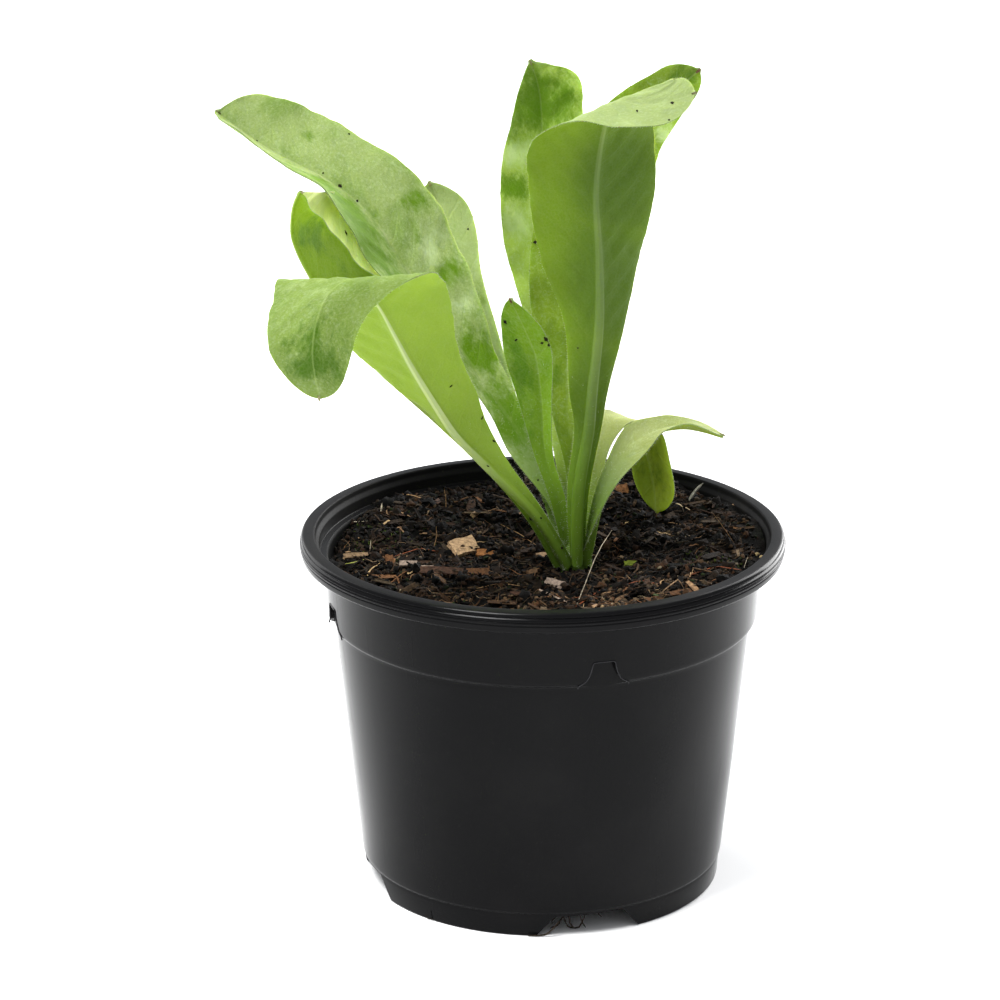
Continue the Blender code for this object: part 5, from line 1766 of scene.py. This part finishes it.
# Colours: upper side, its deeper patches, underside, its deeper patches, mottle, bloom
LEAF_COLOURS = {
    "leaf_far_left": ((144, 161, 99), (88, 124, 10), (134, 160, 60), (98, 132, 28), 0.9, 0.30),
    "leaf_front_left": ((114, 136, 64), (64, 98, 10), (138, 166, 56), (110, 142, 30), 0.5, 0.22),
    # The very pale upper side of this leaf is partly painted light against the shadow of the far
    # left leaf.
    "leaf_back_left": ((228, 236, 176), (160, 184, 86), (99, 128, 6), (72, 104, 8), 0.4, 0.08),
    "leaf_inner_left": ((156, 170, 114), (110, 138, 50), (130, 156, 70), (96, 126, 40), 0.5, 0.3),
    "leaf_centre": ((104, 139, 22), (80, 118, 14), (90, 126, 26), (72, 106, 16), 0.6, 0.12),
    "leaf_back": ((154, 177, 78), (92, 128, 18), (122, 150, 48), (90, 124, 24), 0.5, 0.3),
    "leaf_front_right": ((136, 152, 96), (118, 140, 66), (100, 128, 22), (88, 114, 28), 0.2, 0.2),
    "leaf_back_right": ((124, 150, 36), (86, 118, 20), (112, 138, 34), (84, 112, 20), 0.8, 0.2),
    "leaf_low_front": ((142, 151, 94), (118, 134, 56), (132, 150, 54), (100, 120, 30), 0.6, 0.25),
    "leaf_low_back": ((140, 146, 88), (108, 122, 44), (146, 161, 48), (100, 118, 24), 0.2, 0.2),
}
finishes = {}
for number, (name, colours) in enumerate(LEAF_COLOURS.items()):
    finishes[name] = leaf_finishes(name, *colours, seed=number * 7.3)
print(len(finishes) * 3, "leaf materials")

# %% [markdown]
# ## Making the leaves
# Every leaf is one piece from its cut, just above the crown, to its tip. The grid's own corners
# already lie along the veins, so smooth shading is enough, and only the thin rim stays sharp.

# %% Ten leaves


def dress(item, finishes):
    """Puts three finishes into the slots that Solidify has filled."""
    for number, finish in enumerate(finishes):
        item.data.materials[number] = finish
    smooth(item, 45)


# Each blade starts this much before the cut, and there the stalk ends
JOINT = 0.35
leaf_pieces = {}
for name, curve in curves.items():
    piece = leaf_stretch(curve, curve.cut - JOINT, curve.length)
    dress(piece, finishes[name])
    leaf_pieces[name] = keep(piece, name + "_blade", replaces=[name])

# %% [markdown]
# ## The crown
# All leaves rise from one short stem in the soil. The lower stretch of each stalk is the same
# surface as its leaf and ends exactly where the leaf begins. The stem is a tall, slightly lumpy
# sphere that closes the gaps between the stalks. All are joined into one piece, as they have grown.

# %% Stem and stalks
STALK_FOOT = 2.6
STEM_MIDDLE = 81.0
STEM_SIZE = (4.2, 3.4, 9.4)
start()
bpy.ops.mesh.primitive_uv_sphere_add(segments=28, ring_count=18, radius=1,
                                     location=placed((*CROWN, STEM_MIDDLE)),
                                     scale=[half * MM for half in STEM_SIZE])
stem = bpy.context.object
bpy.ops.object.transform_apply(location=True, scale=True)
for vertex in stem.data.vertices:
    bumpy = noise.noise(vertex.co * 420) * 0.35 * MM
    vertex.co += vertex.normal * bumpy
stem.data.attributes.new("leaf_place", "FLOAT_VECTOR", "POINT")
stem.data.attributes.new("leaf_paint", "FLOAT_VECTOR", "POINT")
for finish in finishes["leaf_inner_left"]:
    stem.data.materials.append(finish)
stalks = []
for name, curve in curves.items():
    stalk = leaf_stretch(curve, STALK_FOOT, curve.cut - JOINT)
    dress(stalk, finishes[name])
    stalks.append(stalk)
join_to(stem, stalks)
smooth(stem, 45)
crown = keep(stem, "crown_and_stalks", replaces=["crown"])

# %% [markdown]
# ## Finding a place from the photograph
# Some bits of litter are so plain in the photograph that they are put where they lie. A line of
# sight runs from the camera through the bit's pixel, and is followed until it meets the ground
# or a leaf. So the bit lies on the soil from every side and not only in this view.

# %% Follow a line of sight
SIGHT_TOP = 100
SIGHT_STEP = 0.03
SIGHT_STEPS = 900


def on_soil(pixel, lift=0.3):
    """The place on the soil behind a pixel, found by going down the line in small steps."""
    ray = ray_through(pixel)
    for step in range(SIGHT_STEPS):
        height = SIGHT_TOP - step * SIGHT_STEP
        point = camera_point + ray * ((height - camera_point.z) / ray.z)
        if height <= soil_rise(point.x, point.y) + lift:
            break
    return point


leaf_trees = []
for piece in list(leaf_pieces.values()) + [crown]:
    mesh = piece.data
    tree = BVHTree.FromPolygons([vertex.co for vertex in mesh.vertices],
                                [tuple(face.vertices) for face in mesh.polygons])
    leaf_trees.append(tree)


def on_leaf(pixel):
    """The nearest place on a leaf behind a pixel, in millimetres, and its normal."""
    start_point = placed(camera_point)
    hits = [tree.ray_cast(start_point, ray_through(pixel)) for tree in leaf_trees]
    hits = [hit for hit in hits if hit[0] is not None]
    if not hits:
        return None
    place, normal = min(hits, key=lambda hit: hit[3])[:2]
    return place / MM - Vector((POT_X, POT_Y, 0)), normal


print("soil behind pixel (464, 546):", tuple(round(value, 1) for value in on_soil((464, 546))))

# %% [markdown]
# ## Bark chips
# A few chips of bark and wood are larger and paler than the rest. They are copies of three
# slabs. A slab is a cube that is cut in three all ways and roughened with noise.

# %% Model three slabs


def model_slab(seed):
    start()
    bpy.ops.mesh.primitive_cube_add(size=2)
    slab = bpy.context.object
    edit()
    bpy.ops.mesh.subdivide(number_cuts=2)
    close_edit()
    for vertex in slab.data.vertices:
        rough = noise.noise(vertex.co * 1.3 + Vector((seed, 0, 0)))
        vertex.co.x *= 1 + 0.22 * rough
        vertex.co.y *= 1 + 0.30 * noise.noise(vertex.co * 1.7 + Vector((0, seed, 0)))
        vertex.co.z += 0.35 * noise.noise(vertex.co * 0.9 + Vector((0, 0, seed)))
    return as_array(slab)


slabs = [model_slab(seed) for seed in (2.2, 5.1, 7.7)]
print("faces of one slab:", len(slabs[0][1]))

# %% [markdown]
# ## Laying the chips
# Each chip lies where the photograph shows it, tilted towards its front and half sunk in the
# crumbs. The first one, pale and nearly square, has a small dark knot.

# %% Lay the chips
TAN_WOOD = tone(180, 148, 112)
PALE_WOOD = tone(152, 124, 96)
PINK_WOOD = tone(146, 128, 114)
RED_BARK = tone(72, 50, 38)
ORANGE_BARK = tone(104, 70, 44)
GREEN_SPECK = tone(96, 108, 30)
BONE_WHITE = tone(178, 178, 170)
# Each chip: middle pixel, half length, half width and half thickness in mm, turn and tilt, colour
CHIPS = [
    ((464, 547), (3.4, 2.5, 0.7), 34, -26, TAN_WOOD),
    ((356, 556), (3.0, 0.8, 0.4), 12, -24, tone(116, 94, 70)),
    ((390, 561), (1.0, 1.5, 0.4), 20, -44, ORANGE_BARK),
    ((408, 564), (2.0, 0.8, 0.4), -5, -26, PINK_WOOD),
    ((441, 572), (5.4, 1.3, 0.6), -5, -20, RED_BARK),
    ((427, 569), (1.7, 0.8, 0.4), 8, -30, PINK_WOOD),
    ((476, 573), (3.0, 1.2, 0.5), 2, -22, ORANGE_BARK),
    ((486, 554), (2.3, 1.1, 0.5), -18, -26, tone(148, 98, 56)),
    ((545, 556), (2.2, 0.9, 0.4), 24, -30, PALE_WOOD),
    ((555, 584), (2.7, 1.0, 0.5), -40, -40, PINK_WOOD),
    ((534, 572), (1.9, 0.7, 0.4), 36, -24, tone(112, 84, 58)),
    ((476, 514), (1.8, 0.6, 0.4), 58, -40, PALE_WOOD),
    ((622, 490), (1.6, 1.3, 0.5), 30, -46, tone(138, 94, 60)),
    ((631, 564), (1.6, 0.8, 0.4), 6, -26, GREEN_SPECK),
    ((738, 506), (1.5, 0.8, 0.4), -30, -20, tone(126, 102, 76)),
    ((676, 540), (0.6, 0.4, 0.3), 10, -30, BONE_WHITE),
    ((683, 549), (0.5, 0.4, 0.3), 40, -30, BONE_WHITE),
    ((520, 596), (2.6, 0.8, 0.5), -14, -24, RED_BARK),
    ((436, 503), (1.8, 0.6, 0.4), 64, -30, RED_BARK),
]
chip_heap = Heap()
for number, (pixel, size, turn, tilt, colour) in enumerate(CHIPS):
    tipping = Matrix.Rotation(math.radians(-tilt), 3, "X")
    turning = Matrix.Rotation(math.radians(turn), 3, "Z") @ tipping
    lift = size[2] + 0.5 * size[1] * math.sin(math.radians(-tilt))
    chip_heap.put_bit(slabs[number % 3], on_soil(pixel, lift), size, turning.to_quaternion(),
                      colour)
UPRIGHT = Matrix.Identity(3).to_quaternion()
knot = on_soil((463, 546), 2.2) + Vector((0, -0.5, 0.2))
chip_heap.put_bit(grains[0], knot, (0.55, 0.4, 0.35), UPRIGHT, RED_BARK)
chip_wood = litter_finish("chip_wood", 0.8, 0.0003, 0.45, 1.2)
chip_heap.gather("bark_chips", chip_wood, 35)

# %% [markdown]
# ## Fibres that stand up or lie on top
# Some of the dry fibres stand up from the soil or curl over it, and some long ones lie on top.
# Each is a path of two to five pixels of the photograph.

# %% Paths of the named fibres
BONE = tone(214, 200, 174)
DRY = tone(150, 118, 84)
REDDISH = tone(128, 70, 44)
OLIVE = tone(146, 148, 74)
# Each fibre: the pixels it passes, its width in mm and its colour
STANDING = [
    ([(577, 604), (584, 587), (590, 571), (598, 551), (612, 530)], 0.20, BONE),
    ([(446, 510), (446, 499), (444, 488)], 0.22, DRY),
    ([(434, 547), (437, 536), (436, 526)], 0.24, DRY),
    ([(381, 513), (382, 503)], 0.50, BONE),
    ([(689, 501), (695, 491), (703, 483)], 0.85, tone(160, 156, 146)),
    ([(734, 543), (724, 528), (712, 512)], 0.16, DRY),
    ([(370, 550), (371, 540)], 0.18, BONE),
    ([(401, 580), (403, 569)], 0.16, DRY),
    ([(433, 585), (431, 574)], 0.18, DRY),
    ([(662, 592), (672, 584), (679, 579), (684, 589)], 0.40, PALE_WOOD),
    ([(655, 520), (659, 508)], 0.16, DRY),
    ([(744, 568), (748, 556)], 0.16, BONE),
    ([(497, 606), (499, 593)], 0.18, DRY),
]
# The same for those that lie on the soil
LYING = [
    ([(337, 527), (352, 522), (368, 521)], 0.22, BONE),
    ([(400, 494), (412, 495), (424, 499)], 0.45, DRY),
    ([(394, 510), (403, 513), (411, 517)], 0.50, DRY),
    ([(345, 564), (356, 562), (366, 559)], 0.40, OLIVE),
    ([(532, 586), (549, 594), (567, 602)], 0.90, PINK_WOOD),
    ([(575, 607), (587, 599), (600, 590)], 0.35, REDDISH),
    ([(572, 598), (588, 596), (604, 600)], 0.30, REDDISH),
    ([(470, 590), (500, 583), (521, 586)], 0.35, DRY),
    ([(610, 590), (640, 580), (668, 586)], 0.30, REDDISH),
    ([(395, 556), (420, 548), (441, 552)], 0.30, REDDISH),
    ([(640, 530), (668, 522), (690, 526)], 0.30, DRY),
    ([(690, 575), (716, 566), (742, 570)], 0.35, REDDISH),
    ([(500, 524), (520, 534), (536, 545)], 0.28, DRY),
]
print(len(STANDING), "standing and", len(LYING), "lying fibres")

# %% [markdown]
# ## Laying the fibres
# The foot of a standing fibre is on the soil, and the rest of it stays at the depth of its foot,
# so that it stands upright. A lying one follows the ground between its pixels.

# %% Lay the named fibres
thread_heap = Heap()
for pixels, width, colour in STANDING:
    foot = on_soil(pixels[0], 0.2)
    path = [foot - Vector((0, 0, 0.6))] + [at_depth(pixel, foot.y) for pixel in pixels]
    thread_heap.put_strand(rod, path, width, width * 0.7, colour, up=(0, 1, 0))
for pixels, width, colour in LYING:
    path = []
    for one, two in zip(pixels, pixels[1:]):
        for number in range(4):
            share = number / 4
            pixel = [near + (far - near) * share for near, far in zip(one, two)]
            path.append(on_soil(pixel, 0.7))
    path.append(on_soil(pixels[-1], 0.5))
    thread_heap.put_strand(rod, path, width, width * 0.6, colour)
thread_heap.gather("standing_fibres", litter, 70)

# %% [markdown]
# ## Moss and beads
# A film of young moss grows at the left wall and on the right, as tufts of tiny upright points.
# Two grains of slow fertiliser lie near the right wall. A tuft is five short rods that lean
# apart, and it is copied with a random size.

# %% Tufts of moss and two beads
draw = random.Random(5)
moss_heap = Heap()
MOSS_GREENS = [tone(58, 70, 28), tone(74, 84, 38), tone(44, 56, 24)]
MOSS_EDGE = 51.5
BEADS = [(757, 554), (761, 557)]
# Each bed of moss: middle pixel, spread in mm, number of tufts
MOSS_BEDS = [((392, 536), 6.0, 46), ((364, 548), 3.5, 22), ((690, 560), 5.5, 34),
             ((733, 566), 3.0, 18), ((632, 563), 1.2, 6), ((470, 575), 2.5, 8)]
for pixel, spread, count in MOSS_BEDS:
    middle = on_soil(pixel)
    for number in range(count):
        x = middle.x + draw.gauss(0, spread)
        y = middle.y + draw.gauss(0, spread)
        if math.hypot(x, y) > MOSS_EDGE:
            continue
        foot = Vector((x, y, soil_rise(x, y) + 0.3))
        colour = draw.choice(MOSS_GREENS)
        for leaf in range(5):
            lean = Vector((draw.gauss(0, 0.28), draw.gauss(0, 0.28), draw.uniform(0.35, 0.8)))
            path = [foot, foot + lean * 0.6, foot + lean]
            moss_heap.put_strand(thin_rod, path, 0.20, 0.16, colour, up=(0, 1, 0.1),
                                 taper=(0.6, 0.1))
for pixel in BEADS:
    moss_heap.put_bit(crumbs[0], on_soil(pixel, 0.7), (0.45, 0.45, 0.4), random_turn(draw),
                      tone(158, 138, 98))
moss_heap.gather("moss_tufts", litter, 60)

# %% [markdown]
# ## Specks of soil on the leaves
# Watering has thrown a few dark specks on the leaves. Each is one of the crumbs, pressed flat on
# the place of the leaf that the line of sight meets.

# %% Put the specks on the leaves
# Each speck: pixel, length and width in mm
SPECKS = [
    ((340, 186), 0.50, 0.36), ((357, 201), 0.36, 0.26), ((346, 233), 0.62, 0.22),
    ((535, 242), 0.42, 0.36), ((546, 339), 0.62, 0.5), ((542, 343), 0.4, 0.3),
    ((549, 345), 0.36, 0.3), ((505, 322), 0.52, 0.34), ((516, 340), 0.4, 0.2),
    ((672, 103), 0.42, 0.36), ((669, 120), 0.26, 0.22), ((482, 418), 0.46, 0.2),
    ((494, 441), 0.5, 0.22), ((451, 386), 0.42, 0.16), ((531, 519), 0.55, 0.3),
    ((578, 348), 0.2, 0.2), ((637, 111), 0.3, 0.2), ((492, 430), 0.3, 0.2),
    ((468, 229), 0.24, 0.2), ((488, 466), 0.34, 0.16), ((510, 460), 0.26, 0.2),
    ((544, 504), 0.36, 0.28), ((562, 548), 0.4, 0.3), ((538, 480), 0.3, 0.2),
    ((349, 134), 0.24, 0.2), ((323, 173), 0.22, 0.18), ((257, 141), 0.28, 0.2),
    ((541, 518), 0.3, 0.2),
]
SPECK_BROWN = tone(34, 30, 14)
speck_heap = Heap()
for number, (pixel, long, wide) in enumerate(SPECKS):
    found = on_leaf(pixel)
    if found is None:
        continue
    place, normal = found
    turning = Vector((0, 0, 1)).rotation_difference(normal)
    turning = turning @ Matrix.Rotation(number * 1.3, 3, "Z").to_quaternion()
    speck_heap.put_bit(crumbs[number % 3], place + normal * 0.06, (long, wide, 0.16), turning,
                       SPECK_BROWN)
speck_heap.gather("leaf_specks", litter, 60)
leaf_trees.clear()

# %% [markdown]
# ## Leaf tips and glands
# Each leaf ends in a tiny pale or brown point, and its margin carries glands, one every six
# millimetres. A point is a short rod along the end of the midrib, and a gland is one of the
# grains. The highest tip has no point, because the plant must not grow taller than it is.

# %% Points and glands at the margins
HIGHEST_POINT = 212.5
GLAND_SPACING = 6.4
GLAND_SIZE = (0.20, 0.20, 0.16)
GLAND = tone(120, 116, 70)
BROWN_TIP = tone(112, 84, 62)
PALE_TIP = tone(132, 128, 88)
tip_heap = Heap()
for name, curve in curves.items():
    end = curve.section(curve.length)[0]
    before = curve.section(curve.length - 1.5)[0]
    ahead = (end - before).normalized()
    colour = BROWN_TIP if name in ("leaf_centre", "leaf_back_right") else PALE_TIP
    path = [end - ahead * 0.8, end + ahead * 0.1, end + ahead * 0.7]
    if path[-1].z < HIGHEST_POINT:
        tip_heap.put_strand(thin_rod, path, 0.75, 0.6, colour, up=(0.3, 0.8, 0.2),
                            taper=(0.9, 0.3))
    stop = curve.cut + 9.0
    while stop < curve.length * 0.97:
        section = curve.section(stop)
        for column in (-0.995, 0.995):
            place = blade_point(curve, column, section, stop)[0]
            tip_heap.put_bit(grains[0], place - section[3] * 0.15, GLAND_SIZE, UPRIGHT, GLAND)
        stop += GLAND_SPACING
tip_heap.gather("leaf_points", litter, 60)

# %% [markdown]
# ## Hairs on the margins
# The margins carry a fringe of fine pale hairs, which is longer on the stalks. One hair is a
# cone of three sides, and thousands of copies stand on the edge, each in a direction of its own.

# %% Fringe of hairs on margins and stalks
HAIR = tone(214, 220, 196)
start()
bpy.ops.mesh.primitive_cone_add(vertices=3, radius1=1, radius2=0.15, depth=1, location=(0, 0, 0.5))
bpy.ops.object.transform_apply(location=True)
hair = as_array(bpy.context.object)
draw = random.Random(11)


def put_hair(heap, place, direction, length, width):
    turning = Vector((0, 0, 1)).rotation_difference(direction.normalized())
    heap.put_bit(hair, place, (width, width, length), turning, HAIR)


FRINGE_WIDTH = 0.028
fringe_heap = Heap()
for name, curve in curves.items():
    stop = 3.0
    while stop < curve.length * 0.985:
        section = curve.section(stop)
        for column in (-1, 1):
            place = blade_point(curve, column, section, stop)[0]
            outward = section[1] if column < 0 else section[2]
            wild = Vector((draw.gauss(0, 0.35), draw.gauss(0, 0.35), draw.gauss(0, 0.35)))
            length = draw.uniform(0.25, 0.6) * (1.5 if stop < 45 else 1.0)
            put_hair(fringe_heap, place - section[3] * 0.12, outward.normalized() + wild, length,
                     FRINGE_WIDTH)
        stop += draw.uniform(0.35, 0.75)
fringe_heap.gather("margin_hairs", litter, 60)

# %% [markdown]
# ## Down on the stalks
# Shorter and thinner hairs cover both sides of the young stalks, closest near the crown, where
# they make a whitish bloom. Those on the underside are moved by the thickness of the leaf.

# %% Down on the stalks
DOWN_COUNT = 420
DOWN_WIDTH = 0.020
down_heap = Heap()
for name, curve in curves.items():
    for number in range(DOWN_COUNT):
        stop = 2.8 + 52 * draw.random() ** 1.8
        if stop > curve.length - 5:
            continue
        column = draw.uniform(-0.95, 0.95)
        section = curve.section(stop)
        place, across = blade_point(curve, column, section, stop)
        normal = section[3]
        if draw.random() < 0.5:
            thick = STALK_THICKNESS * rib_share(curve, across, section[2].length, section[4])
            place, normal = place - normal * thick, -normal
        wild = Vector((draw.gauss(0, 0.45), draw.gauss(0, 0.45), draw.gauss(0.25, 0.45)))
        put_hair(down_heap, place, normal + wild, draw.uniform(0.3, 0.8), DOWN_WIDTH)
down_heap.gather("stalk_down", litter, 60)

# %% [markdown]
# ## Roots in the foot
# Thin dark roots have grown out of the drain holes and show in the arch at the front. They hang
# in loops just inside the foot ring. Two more lie on the ground just outside it. A path that
# would dip into the ground is lifted on to it.

# %% Roots in the front arch
ROOT = tone(44, 37, 29)
ROOT_DEPTH = -40.5
ROOT_LOWEST = 0.4
# Each root: the pixels it passes and its width in mm
ROOTS = [
    ([(563, 916), (558, 925), (550, 932)], 0.40),
    ([(563, 916), (567, 926), (573, 930), (580, 927), (585, 915)], 0.45),
    ([(569, 915), (570, 924), (574, 932)], 0.45), ([(580, 914), (582, 922), (586, 928)], 0.35),
    ([(556, 916), (551, 922)], 0.30), ([(600, 911), (598, 914), (602, 917)], 0.25),
]
# Roots outside the foot ring, each with its depth behind the pot's axis
OUTER_ROOTS = [([(528, 937), (537, 937), (546, 935), (553, 929), (559, 921)], 0.50, -44.9),
               ([(425, 914), (428, 919), (434, 921)], 0.25, -35.2)]
root_heap = Heap()
for pixels, width, depth in [(*root, ROOT_DEPTH) for root in ROOTS] + OUTER_ROOTS:
    path = [at_depth(pixel, depth) for pixel in pixels]
    for point in path:
        point.z = max(point.z, ROOT_LOWEST)
    root_heap.put_strand(rod, path, width, width, ROOT, up=(0, 1, 0))
root_heap.gather("drain_roots", litter, 60)

# %% [markdown]
# ## Sizes at the end
# The box round the finished model is printed beside the CAD model's box, because the finer pieces
# must not make the plant larger than it is.

# %% Print the sizes
new_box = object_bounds()
for label, box in (("CAD", cad_box), ("visual", new_box)):
    print(label, "box in mm:", [[round(value / MM, 1) for value in corner] for corner in box])
